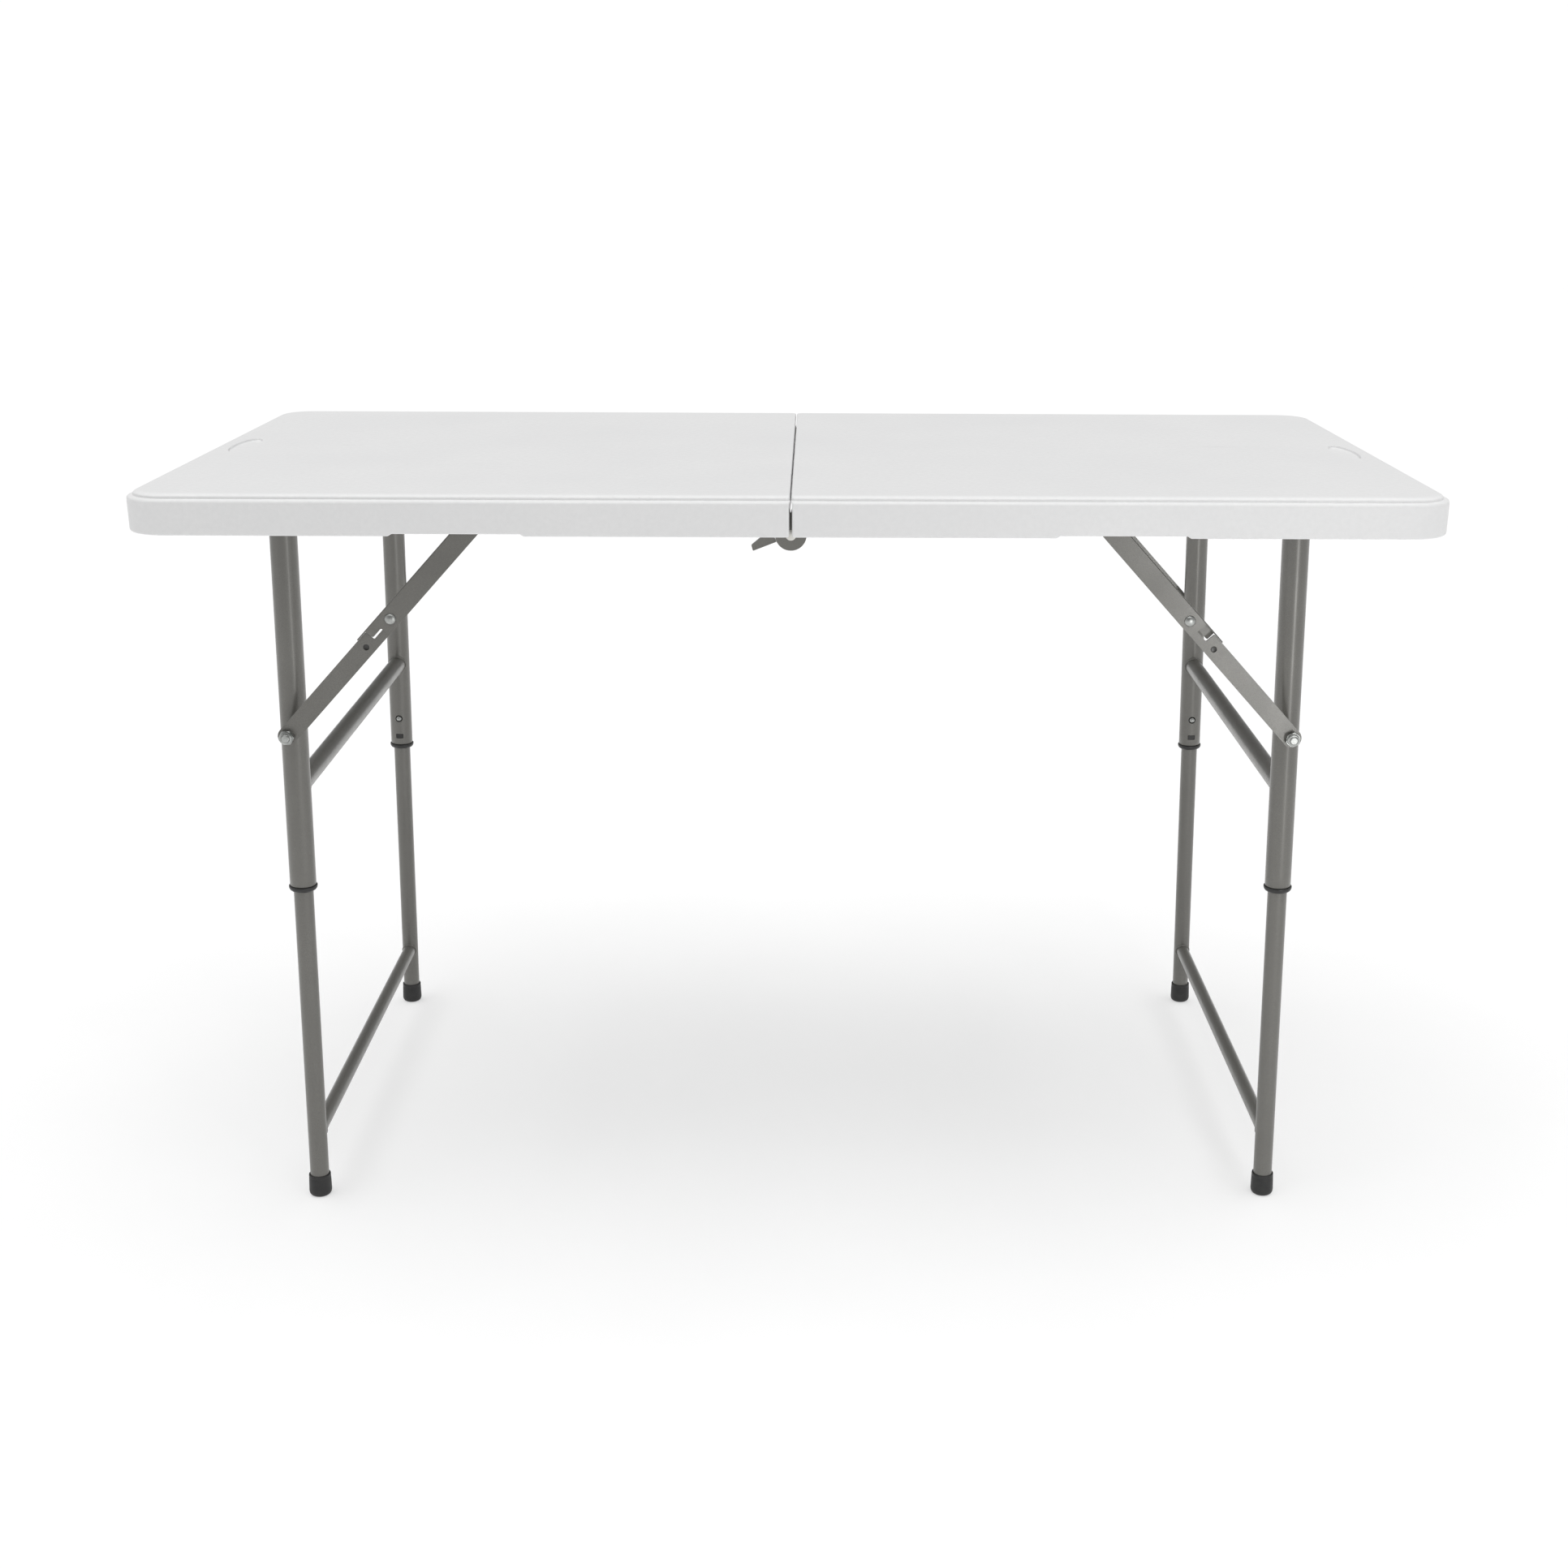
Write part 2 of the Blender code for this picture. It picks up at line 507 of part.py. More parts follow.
# ---------------------------------------------------------------------- braces
# Each brace is drawn in its own axes: origin at the elbow, +X up the brace to
# the rail, -X down to the leg, +Z towards the back of the channel.
def brace(side, word, f, fw):
    tag = '%s_%s' % (fw, word)
    # up the brace runs inwards, towards the middle of the table
    m = Matrix.Translation((side * EX, 0, EZ)) @ Matrix.Rotation(
        (SLOPE if side > 0 else -SLOPE), 4, 'Y')
    axis = empty('axis_elbow_' + tag, m)

    def ol(pts):
        # right side: the brace runs towards -X
        return pts if side < 0 else [(-a, b) for a, b in reversed(pts)]

    tongue_outer = (f == side)          # one handed part serves all four corners
    cr = -CH_LOW

    def flange(tongue):
        pts = [(-CH_END, CH_LOW)]
        pts += arc(LINK_C, 0, cr, -90, 35, 5)
        pts += [(LINK_C + 0.001, CH_TOP)]
        if tongue:
            pts += [(-TONGUE + 0.001, CH_TOP), (-TONGUE, CH_TOP - 0.001), (-TONGUE, 0.0018),
                    (-TONGUE + 0.0012, 0.0006), (-CH_END - 0.001, 0.0006), (-CH_END, -0.0004)]
        else:
            pts += [(-CH_END, CH_TOP)]
        return ol(pts)

    a0, a1 = yspan(f, *FL_OUT)
    b0, b1 = yspan(f, *FL_IN)
    up = plate('upper_link_' + tag, flange(tongue_outer), a0, a1, 'XZ', M_STEEL, axis)
    inner = plate('upper_flange_' + tag, flange(not tongue_outer), b0, b1, 'XZ', None, axis)
    w0, w1 = yspan(f, FL_IN[0] + 0.0001, FL_OUT[1] - 0.0001)
    web = plate('upper_web_' + tag,
                ol([(-STOP, CH_WEB), (LINK_C, CH_WEB), (LINK_C, CH_TOP - 0.0001),
                    (-STOP + 0.0008, CH_TOP - 0.0001), (-STOP, CH_TOP - 0.0006)]), w0, w1, 'XZ', None, axis)
    fuse(up, inner, web)
    c0, c1 = yspan(f, 0.268, 0.292)
    d0, d1 = yspan(f, 0.2745, 0.292)
    cut(up, rod_y('elbow_bore_' + tag, 0.0033, c0, c1, 0, 0, 10, parent=axis),
        rod_y('pivot_bore_' + tag, 0.0033, d0, d1, (LINK_C if side < 0 else -LINK_C), 0, 10, parent=axis))

    # lower link: rounded strap with the lock notch
    h = BRACE_HALF
    pts = arc(0, 0, h, -90, 90, 6)
    pts += [(-0.0118, h), (-0.0118, -0.0002), (-0.0126, -0.0012), (-0.0258, -0.0012), (-0.0270, 0.0002), (-0.0270, h)]
    pts += arc(-LINK_B, 0, h, 90, 270, 6)
    p0, p1 = yspan(f, *PLATE)
    low = plate('lower_link_' + tag, ol(pts), p0, p1, 'XZ', M_STEEL, axis)
    s0, s1 = yspan(f, COLLAR_END + 0.0004, PLATE[0] + 0.0005)
    bx = (-LINK_B if side < 0 else LINK_B)
    hx = (-0.0368 if side < 0 else 0.0368)
    fuse(low, rod_y('lower_boss_' + tag, 0.0068, s0, s1, bx, 0, 12, parent=axis))
    cut(low, rod_y('lower_elbow_bore_' + tag, 0.0033, c0, c1, 0, 0, 10, parent=axis),
        rod_y('lower_bolt_bore_' + tag, 0.0042, c0, c1, bx, 0, 12, parent=axis),
        rod_y('lower_hole_' + tag, 0.0030, c0, c1, hx, -0.0006, 10, parent=axis))

    turn = Matrix.Rotation(math.radians(-90 * f), 4, 'X')
    # elbow rivet
    turned('elbow_rivet_' + tag,
           [(0.0, 0.2798), (0.0030, 0.2792), (0.0053, 0.2777),
            (0.0030, 0.2777), (0.0030, 0.2715), (0.0050, 0.2715), (0.0, 0.2700)],
           10, M_ZINC, axis, turn)
    # lock nut with the threaded end that carries the link
    nut = turned('lock_nut_' + tag,
                 [(0.0, 0.2850), (0.0039, 0.2850), (0.0039, 0.2736), (0.0, 0.2736)],
                 12, M_ZINC, axis, Matrix.Translation((bx, 0, 0)) @ turn)
    hexa = add('nut_body_' + tag, cone_mesh('nut_body_' + tag, 0.0075, 0.0075, 0.0055, 6),
               parent=axis, matrix=Matrix.Translation((bx, f * 0.27865, 0)) @ Y_AXIS)
    ring = rod_y('nut_collar_' + tag, 0.0060, *yspan(f, 0.2810, 0.2840), x=bx, z=0.0, segments=12, parent=axis)
    fuse(nut, hexa, ring)
    # pin that hangs the brace on the rail
    px = (LINK_C if side < 0 else -LINK_C)
    turned('brace_pin_' + tag,
           [(0.0, 0.2890), (0.0050, 0.2890), (0.0050, 0.2880), (0.0030, 0.2880),
            (0.0030, 0.2761), (0.0, 0.2761)], 10, M_ZINC, axis, Matrix.Translation((px, 0, 0)) @ turn)


for s, w in SIDES:
    for f, fw in FACES:
        brace(s, w, f, fw)

bpy.context.view_layer.update()
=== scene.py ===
"""The looks of the fold-in-half table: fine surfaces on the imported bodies, materials, studio."""

import math

import bmesh
import bpy
import numpy as np
from mathutils import Matrix, Vector, noise


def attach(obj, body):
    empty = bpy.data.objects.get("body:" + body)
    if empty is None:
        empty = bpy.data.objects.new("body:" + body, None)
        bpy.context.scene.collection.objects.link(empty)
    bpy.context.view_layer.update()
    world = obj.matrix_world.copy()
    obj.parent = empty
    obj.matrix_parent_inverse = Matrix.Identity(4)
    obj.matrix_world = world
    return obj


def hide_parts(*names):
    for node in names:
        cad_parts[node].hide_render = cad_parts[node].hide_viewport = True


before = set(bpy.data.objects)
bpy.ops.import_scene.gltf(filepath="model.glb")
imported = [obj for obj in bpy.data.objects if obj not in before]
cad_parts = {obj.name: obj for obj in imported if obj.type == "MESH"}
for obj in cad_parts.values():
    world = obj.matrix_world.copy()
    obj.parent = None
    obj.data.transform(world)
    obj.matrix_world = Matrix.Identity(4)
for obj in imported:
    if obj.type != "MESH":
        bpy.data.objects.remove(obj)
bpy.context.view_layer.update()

# ------------------------------------------------------------- the model's sizes
LENGTH, WIDTH, HEIGHT = 1.220, 0.610, 0.737
HL, HW, H = LENGTH / 2, WIDTH / 2, HEIGHT
Z_RIM, Z_DECK = 0.6995, 0.7287
RIM_W, CORNER_R = 0.0155, 0.040
NOTCH, NOTCH_H, NOTCH_RAMP = (0.242, 0.367), 0.0021, 0.0050
HINGE_Z, DISC_R, PIN_R = 0.6990, 0.0145, 0.0040
Z_AXLE, X_AXLE, X_FOOT, Y_LEG = 0.7145, 0.4747, 0.4900, 0.2485
OUT_R, OUT_IN, IN_R, IN_IN = 0.0127, 0.0115, 0.0095, 0.0083
AXLE_R, UP_BAR_R, LOW_BAR_R = 0.0095, 0.0095, 0.0075
Z_OUT_END, Z_IN_TOP, Z_UP_BAR, Z_LOW_BAR = 0.3423, 0.4220, 0.4420, 0.0700
Z_BUTTON, Z_WINDOW, BUTTON_R = 0.3750, 0.3530, 0.00325
RAIL_IN, RAIL_OUT, HUB_IN, HUB_OUT = 0.2862, 0.2877, 0.2842, 0.2857
RAIL_Z0, RAIL_Z1, RAIL_END, RAIL_LIP = 0.7010, 0.7280, 0.565, 0.2680
PLATE_IN, PLATE_OUT = 0.2736, 0.2756
BRACE_MID, CH_HALF, CH_GAP = 0.2746, 0.0028, 0.0014
CH_LOW, CH_WEB, CH_TOP, CH_END = -0.0093, 0.0094, 0.0104, 0.0126
TONGUE, STOP, BRACE_HALF = 0.0252, 0.0365, 0.0091
D_BRACE_X, LEG_BOLT, COLLAR_END = 0.2851, 0.2128, 0.2714
LATCH_P = (-0.0300, 0.7120)
LEG_TOP = 0.0025
SPLAY = math.atan2(X_FOOT - X_AXLE, Z_AXLE)
LEG_L = math.hypot(X_FOOT - X_AXLE, Z_AXLE)
BX = X_AXLE + LEG_BOLT * math.sin(SPLAY)
BZ = Z_AXLE - LEG_BOLT * math.cos(SPLAY)
LINK_B = (math.hypot(BX - D_BRACE_X, Z_AXLE - BZ) + D_BRACE_X - (X_AXLE - LEG_BOLT)) / 2
LINK_C = (math.hypot(BX - D_BRACE_X, Z_AXLE - BZ) - D_BRACE_X + (X_AXLE - LEG_BOLT)) / 2
SLOPE = math.atan2(Z_AXLE - BZ, BX - D_BRACE_X)
EX = D_BRACE_X + LINK_C * math.cos(SLOPE)
EZ = Z_AXLE - LINK_C * math.sin(SLOPE)
SIDES = ((-1, 'left'), (1, 'right'))
FACES = ((-1, 'front'), (1, 'back'))


def along(z):
    return (Z_AXLE - z) / math.cos(SPLAY)


# --------------------------------------------------------------------- materials
def new_material(name):
    m = bpy.data.materials.new(name)
    m.use_nodes = True
    nt = m.node_tree
    return m, nt, nt.nodes["Principled BSDF"]


def node(nt, kind, **values):
    n = nt.nodes.new(kind)
    for k, v in values.items():
        if k in n.inputs:
            n.inputs[k].default_value = v
        else:
            setattr(n, k, v)
    return n


def noise_node(nt, coord, scale, detail=3.0, rough=0.5, distortion=0.0):
    n = nt.nodes.new('ShaderNodeTexNoise')
    n.inputs['Scale'].default_value = scale
    n.inputs['Detail'].default_value = detail
    n.inputs['Roughness'].default_value = rough
    n.inputs['Distortion'].default_value = distortion
    nt.links.new(coord, n.inputs['Vector'])
    return n.outputs['Fac']


def ramp(nt, fac, stops):
    r = nt.nodes.new('ShaderNodeValToRGB')
    while len(r.color_ramp.elements) < len(stops):
        r.color_ramp.elements.new(0.5)
    for e, (p, c) in zip(r.color_ramp.elements, stops):
        e.position = p
        e.color = (*c, 1.0) if len(c) == 3 else c
    nt.links.new(fac, r.inputs['Fac'])
    return r.outputs['Color']


def rng(nt, fac, a0, a1, b0, b1):
    r = nt.nodes.new('ShaderNodeMapRange')
    for k, v in (('From Min', a0), ('From Max', a1), ('To Min', b0), ('To Max', b1)):
        r.inputs[k].default_value = v
    nt.links.new(fac, r.inputs['Value'])
    return r.outputs['Result']


def mix(nt, fac, a, b, mode='MIX'):
    m = nt.nodes.new('ShaderNodeMix')
    m.data_type = 'RGBA'
    m.blend_type = mode
    if isinstance(fac, float):
        m.inputs['Factor'].default_value = fac
    else:
        nt.links.new(fac, m.inputs['Factor'])
    for s, v in (('A', a), ('B', b)):
        sock = [i for i in m.inputs if i.name == s and i.type == 'RGBA'][0]
        if isinstance(v, tuple):
            sock.default_value = (*v, 1.0)
        else:
            nt.links.new(v, sock)
    return [o for o in m.outputs if o.type == 'RGBA'][0]


def math_node(nt, op, a, b=None):
    m = nt.nodes.new('ShaderNodeMath')
    m.operation = op
    for i, v in enumerate((a, b)):
        if v is None:
            continue
        if isinstance(v, (int, float)):
            m.inputs[i].default_value = v
        else:
            nt.links.new(v, m.inputs[i])
    return m.outputs[0]


def bump(nt, bsdf, height, strength, distance, normal=None):
    b = nt.nodes.new('ShaderNodeBump')
    b.inputs['Strength'].default_value = strength
    b.inputs['Distance'].default_value = distance
    nt.links.new(height, b.inputs['Height'])
    if normal is not None:
        nt.links.new(normal, b.inputs['Normal'])
    nt.links.new(b.outputs['Normal'], bsdf.inputs['Normal'])
    return b.outputs['Normal']


def coords(nt):
    return nt.nodes.new('ShaderNodeTexCoord').outputs['Object']


def moulded_white():
    """Blow-moulded polyethylene: fine moulded grain, faint cloudy tone, a few specks and scuffs."""
    m, nt, b = new_material('moulded_white_hdpe')
    co = coords(nt)
    cloud = noise_node(nt, co, 7.0, 4.0, 0.55)
    base = ramp(nt, cloud, [(0.30, (0.752, 0.753, 0.755)), (0.70, (0.780, 0.780, 0.779))])
    mottle = noise_node(nt, co, 190.0, 3.0, 0.6)
    base = mix(nt, rng(nt, mottle, 0.35, 0.65, 0.0, 0.55), base, (0.730, 0.731, 0.732))
    # faint handling scuffs, drawn out along the table
    st = nt.nodes.new('ShaderNodeMapping')
    st.inputs['Scale'].default_value = (9.0, 26.0, 34.0)
    nt.links.new(co, st.inputs['Vector'])
    sc = noise_node(nt, st.outputs['Vector'], 1.0, 5.0, 0.62, 0.8)
    scuff = rng(nt, sc, 0.66, 0.78, 0.0, 0.20)
    base = mix(nt, scuff, base, (0.60, 0.60, 0.60))
    # sparse dark specks under a millimetre
    vo = nt.nodes.new('ShaderNodeTexVoronoi')
    vo.feature = 'F1'
    vo.inputs['Scale'].default_value = 42.0
    nt.links.new(co, vo.inputs['Vector'])
    near = math_node(nt, 'LESS_THAN', vo.outputs['Distance'], 0.017)
    sep = nt.nodes.new('ShaderNodeSeparateColor')
    nt.links.new(vo.outputs['Color'], sep.inputs['Color'])
    few = math_node(nt, 'LESS_THAN', sep.outputs['Red'], 0.30)
    base = mix(nt, math_node(nt, 'MULTIPLY', math_node(nt, 'MULTIPLY', near, few), 0.55),
               base, (0.30, 0.28, 0.25))
    nt.links.new(base, b.inputs['Base Color'])
    nt.links.new(rng(nt, mottle, 0.3, 0.7, 0.47, 0.58), b.inputs['Roughness'])
    b.inputs['Specular IOR Level'].default_value = 0.42
    grain = noise_node(nt, co, 950.0, 2.0, 0.55)
    pebble = noise_node(nt, co, 330.0, 2.0, 0.5)
    hgt = math_node(nt, 'ADD', math_node(nt, 'MULTIPLY', grain, 0.45), pebble)
    n1 = bump(nt, b, hgt, 0.30, 0.00016)
    wave = noise_node(nt, co, 9.0, 2.0, 0.4)
    bump(nt, b, wave, 0.35, 0.0010, n1)
    return m


def powder_coat(name='powder_coat_taupe', tone=1.0):
    """Taupe-grey powder coat: metallic fleck, fine orange peel, slight dusting."""
    m, nt, b = new_material(name)
    co = coords(nt)
    fleck = noise_node(nt, co, 2600.0, 2.0, 0.7)
    lo, hi = (0.112 * tone, 0.109 * tone, 0.098 * tone), (0.186 * tone, 0.182 * tone, 0.167 * tone)
    base = ramp(nt, fleck, [(0.36, lo), (0.66, hi)])
    drift = noise_node(nt, co, 22.0, 4.0, 0.6)
    base = mix(nt, rng(nt, drift, 0.35, 0.75, 0.0, 0.30), base, (0.124 * tone, 0.121 * tone, 0.111 * tone))
    nt.links.new(base, b.inputs['Base Color'])
    b.inputs['Metallic'].default_value = 0.28
    nt.links.new(rng(nt, drift, 0.3, 0.7, 0.33, 0.42), b.inputs['Roughness'])
    b.inputs['Coat Weight'].default_value = 0.45
    b.inputs['Coat Roughness'].default_value = 0.24
    peel = noise_node(nt, co, 620.0, 3.0, 0.55)
    bump(nt, b, peel, 0.22, 0.00012)
    return m


def zinc():
    m, nt, b = new_material('zinc_bright')
    co = coords(nt)
    t = noise_node(nt, co, 240.0, 4.0, 0.6)
    nt.links.new(ramp(nt, t, [(0.3, (0.31, 0.32, 0.31)), (0.7, (0.48, 0.49, 0.475))]), b.inputs['Base Color'])
    b.inputs['Metallic'].default_value = 1.0
    nt.links.new(rng(nt, t, 0.3, 0.7, 0.28, 0.42), b.inputs['Roughness'])
    bump(nt, b, noise_node(nt, co, 1500.0, 3.0, 0.6), 0.12, 0.00006)
    return m


def rubber():
    m, nt, b = new_material('black_rubber_foot')
    co = coords(nt)
    t = noise_node(nt, co, 120.0, 4.0, 0.6)
    nt.links.new(ramp(nt, t, [(0.35, (0.0125, 0.0125, 0.013)), (0.75, (0.028, 0.028, 0.027))]), b.inputs['Base Color'])
    nt.links.new(rng(nt, t, 0.3, 0.7, 0.42, 0.60), b.inputs['Roughness'])
    b.inputs['Specular IOR Level'].default_value = 0.45
    bump(nt, b, noise_node(nt, co, 900.0, 3.0, 0.6), 0.20, 0.00012)
    return m


def black_plastic():
    m, nt, b = new_material('black_nylon_bush')
    co = coords(nt)
    t = noise_node(nt, co, 300.0, 3.0, 0.5)
    nt.links.new(ramp(nt, t, [(0.3, (0.012, 0.012, 0.012)), (0.7, (0.022, 0.022, 0.021))]), b.inputs['Base Color'])
    nt.links.new(rng(nt, t, 0.3, 0.7, 0.34, 0.46), b.inputs['Roughness'])
    bump(nt, b, noise_node(nt, co, 1400.0, 2.0, 0.5), 0.12, 0.00008)
    return m


def white_nylon():
    m, nt, b = new_material('white_nylon_pin')
    co = coords(nt)
    t = noise_node(nt, co, 400.0, 3.0, 0.5)
    nt.links.new(ramp(nt, t, [(0.3, (0.66, 0.65, 0.61)), (0.7, (0.74, 0.73, 0.69))]), b.inputs['Base Color'])
    nt.links.new(rng(nt, t, 0.3, 0.7, 0.38, 0.5), b.inputs['Roughness'])
    bump(nt, b, noise_node(nt, co, 1200.0, 2.0, 0.5), 0.1, 0.00008)
    return m


M_TOP = moulded_white()
M_STEEL = powder_coat()
# darkened copy of the powder coat: painted shade, used only on the disc behind the brace hole
M_SHADE = powder_coat('powder_coat_painted_shade', 0.22)
M_ZINC = zinc()
M_RUBBER = rubber()
M_BLACK = black_plastic()
M_PIN = white_nylon()
for cad_name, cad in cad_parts.items():
    cad.data.materials.clear()
    cad.data.materials.append(M_STEEL)


# -------------------------------------------------------------------- mesh tools
def link(name, me):
    ob = bpy.data.objects.new(name, me)
    bpy.context.scene.collection.objects.link(ob)
    return ob


def clean(me, dist=0.000004):
    bm = bmesh.new()
    bm.from_mesh(me)
    bmesh.ops.remove_doubles(bm, verts=bm.verts, dist=dist)
    bmesh.ops.recalc_face_normals(bm, faces=bm.faces)
    bm.to_mesh(me)
    bm.free()
    return me


def piece(ob, body, mat, nodes=(), angle=32, weighted=False):
    """Shade the piece, give it its material, and put it on its body."""
    me = ob.data
    me.shade_smooth()
    me.set_sharp_from_angle(angle=math.radians(angle))
    me.materials.clear()
    me.materials.append(mat)
    if weighted:
        w = ob.modifiers.new('weighted', 'WEIGHTED_NORMAL')
        w.keep_sharp = True
        w.weight = 60
    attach(ob, body)
    if nodes:
        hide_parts(*nodes)
    return ob


def apply_all(ob):
    bpy.context.view_layer.update()
    dg = bpy.context.evaluated_depsgraph_get()
    me = bpy.data.meshes.new_from_object(ob.evaluated_get(dg))
    old = ob.data
    ob.modifiers.clear()
    ob.data = me
    me.name = old.name
    bpy.data.meshes.remove(old)
    return ob


def boolean(ob, tools, operation='DIFFERENCE'):
    for t in tools:
        m = ob.modifiers.new('bool', 'BOOLEAN')
        m.operation = operation
        m.solver = 'EXACT'
        m.object = t
    apply_all(ob)
    for t in tools:
        bpy.data.objects.remove(t, do_unlink=True)
    return ob


def bevel(ob, width, segments=2, angle=50):
    m = ob.modifiers.new('edge', 'BEVEL')
    m.width = width
    m.segments = segments
    m.limit_method = 'ANGLE'
    m.angle_limit = math.radians(angle)
    return apply_all(ob)


def join(name, obs):
    """One object of several separate closed shells."""
    bm = bmesh.new()
    for o in obs:
        bm.from_mesh(o.data)
    me = bpy.data.meshes.new(name)
    bm.to_mesh(me)
    bm.free()
    for o in obs:
        bpy.data.objects.remove(o, do_unlink=True)
    return link(name, me)


def lathe(name, profile, n=64, matrix=None, phase=0.5):
    """Turned solid. The profile (radius, height) is a loop, or runs from the axis to the axis."""
    verts, rings, faces = [], [], []
    for r, h in profile:
        if r < 1e-7:
            rings.append([len(verts)])
            verts.append((0.0, 0.0, h))
        else:
            k = len(verts)
            rings.append(list(range(k, k + n)))
            for i in range(n):
                a = math.tau * (i + phase) / n
                verts.append((r * math.cos(a), r * math.sin(a), h))
    closed = profile[0][0] > 1e-7 and profile[-1][0] > 1e-7
    pairs = list(zip(rings, rings[1:])) + ([(rings[-1], rings[0])] if closed else [])
    for a, b in pairs:
        if len(a) == 1 and len(b) == 1:
            continue
        for i in range(n):
            j = (i + 1) % n
            if len(a) == 1:
                faces.append((a[0], b[j], b[i]))
            elif len(b) == 1:
                faces.append((a[i], a[j], b[0]))
            else:
                faces.append((a[i], a[j], b[j], b[i]))
    me = bpy.data.meshes.new(name)
    me.from_pydata(verts, [], faces)
    me.update()
    clean(me)
    if matrix is not None:
        me.transform(matrix)
    return link(name, me)


def arc(cx, cy, r, a0, a1, n):
    return [(cx + r * math.cos(math.radians(a0 + (a1 - a0) * i / n)),
             cy + r * math.sin(math.radians(a0 + (a1 - a0) * i / n))) for i in range(n + 1)]


def circle(cx, cy, r, n=32):
    return arc(cx, cy, r, 0, 360 - 360 / n, n - 1)


def fillet(points, radii, n=4):
    """Outline with rounded corners; radii is one number or a list."""
    out = []
    k = len(points)
    for i in range(k):
        p, a, b = Vector(points[i]), Vector(points[i - 1]), Vector(points[(i + 1) % k])
        r = radii if isinstance(radii, (int, float)) else radii[i]
        u, v = (a - p), (b - p)
        if r < 1e-6 or u.length < 1e-9 or v.length < 1e-9:
            out.append(tuple(p))
            continue
        ang = u.angle(v)
        if ang > math.radians(172):
            out.append(tuple(p))
            continue
        d = min(r / math.tan(ang / 2), u.length * 0.48, v.length * 0.48)
        rr = d * math.tan(ang / 2)
        c = p + (u.normalized() + v.normalized()).normalized() * (rr / math.sin(ang / 2))
        s, e = p + u.normalized() * d, p + v.normalized() * d
        a0 = math.atan2(s.y - c.y, s.x - c.x)
        a1 = math.atan2(e.y - c.y, e.x - c.x)
        da = (a1 - a0 + math.pi) % math.tau - math.pi
        for j in range(n + 1):
            t = a0 + da * j / n
            out.append((c.x + rr * math.cos(t), c.y + rr * math.sin(t)))
    return out


def plate(name, outline, t0, t1, holes=(), plane='XZ', matrix=None):
    """Flat sheet from an outline with holes. XZ: thickness along Y. XY: thickness along Z."""
    cu = bpy.data.curves.new(name, 'CURVE')
    cu.dimensions = '2D'
    cu.fill_mode = 'BOTH'
    cu.extrude = abs(t1 - t0) / 2
    for loop in [outline] + list(holes):
        sp = cu.splines.new('POLY')
        sp.points.add(len(loop) - 1)
        for p, (a, b) in zip(sp.points, loop):
            p.co = (a, b, 0.0, 1.0)
        sp.use_cyclic_u = True
    tmp = link(name + '_outline', cu)
    bpy.context.view_layer.update()
    dg = bpy.context.evaluated_depsgraph_get()
    me = bpy.data.meshes.new_from_object(tmp.evaluated_get(dg))
    bpy.data.objects.remove(tmp, do_unlink=True)
    me.name = name
    mid = (t0 + t1) / 2
    if plane == 'XZ':
        mx = Matrix.Translation((0, mid, 0)) @ Matrix.Rotation(math.radians(90), 4, 'X')
    else:
        mx = Matrix.Translation((0, 0, mid))
    me.transform(mx)
    clean(me, 0.00002)
    if matrix is not None:
        me.transform(matrix)
    return link(name, me)


def loft(name, rings, cap=True):
    """Closed solid through rings of equal length; the first and last are capped."""
    n = len(rings[0])
    verts = [p for r in rings for p in r]
    faces = []
    for k in range(len(rings) - 1):
        for i in range(n):
            j = (i + 1) % n
            faces.append((k * n + i, k * n + j, (k + 1) * n + j, (k + 1) * n + i))
    if cap:
        faces.append(tuple(range(n)))
        faces.append(tuple((len(rings) - 1) * n + i for i in reversed(range(n))))
    me = bpy.data.meshes.new(name)
    me.from_pydata(verts, [], faces)
    me.update()
    bm = bmesh.new()
    bm.from_mesh(me)
    bmesh.ops.recalc_face_normals(bm, faces=bm.faces)
    bm.to_mesh(me)
    bm.free()
    return link(name, me)


def sweep(name, points, radii, sides=10, closed=True, ups=None):
    """Tube of changing radius along points, with a given up direction at each point."""
    k = len(points)
    rings = []
    for i in range(k):
        a = Vector(points[(i - 1) % k] if closed or i else points[i])
        b = Vector(points[(i + 1) % k] if closed or i < k - 1 else points[i])
        t = (b - a).normalized()
        u = Vector(ups[i])
        u = (u - t * u.dot(t)).normalized()
        v = t.cross(u)
        rings.append([tuple(Vector(points[i]) + (u * math.cos(math.tau * j / sides)
                                                 + v * math.sin(math.tau * j / sides)) * radii[i])
                      for j in range(sides)])
    verts = [p for r in rings for p in r]
    faces = []
    for i in range(k if closed else k - 1):
        m = (i + 1) % k
        for j in range(sides):
            q = (j + 1) % sides
            faces.append((i * sides + j, i * sides + q, m * sides + q, m * sides + j))
    if not closed:
        faces.append(tuple(range(sides)))
        faces.append(tuple((k - 1) * sides + j for j in reversed(range(sides))))
    me = bpy.data.meshes.new(name)
    me.from_pydata(verts, [], faces)
    me.update()
    clean(me)
    return link(name, me)


def smooth01(t):
    t = max(0.0, min(1.0, t))
    return t * t * (3 - 2 * t)


def yspan(face, lo, hi):
    return (face * hi, face * lo) if face < 0 else (lo, hi)


def outward(f):
    return Matrix.Rotation(math.radians(-90 * f), 4, 'X')


def rod_y(name, r, y0, y1, x, z, n=32, matrix=None):
    a, b = sorted((y0, y1))
    ob = lathe(name, [(0, a), (r, a), (r, b), (0, b)], n,
               Matrix.Translation((x, 0, z)) @ Matrix.Rotation(math.radians(-90), 4, 'X'))
    if matrix is not None:
        ob.data.transform(matrix)
    return ob


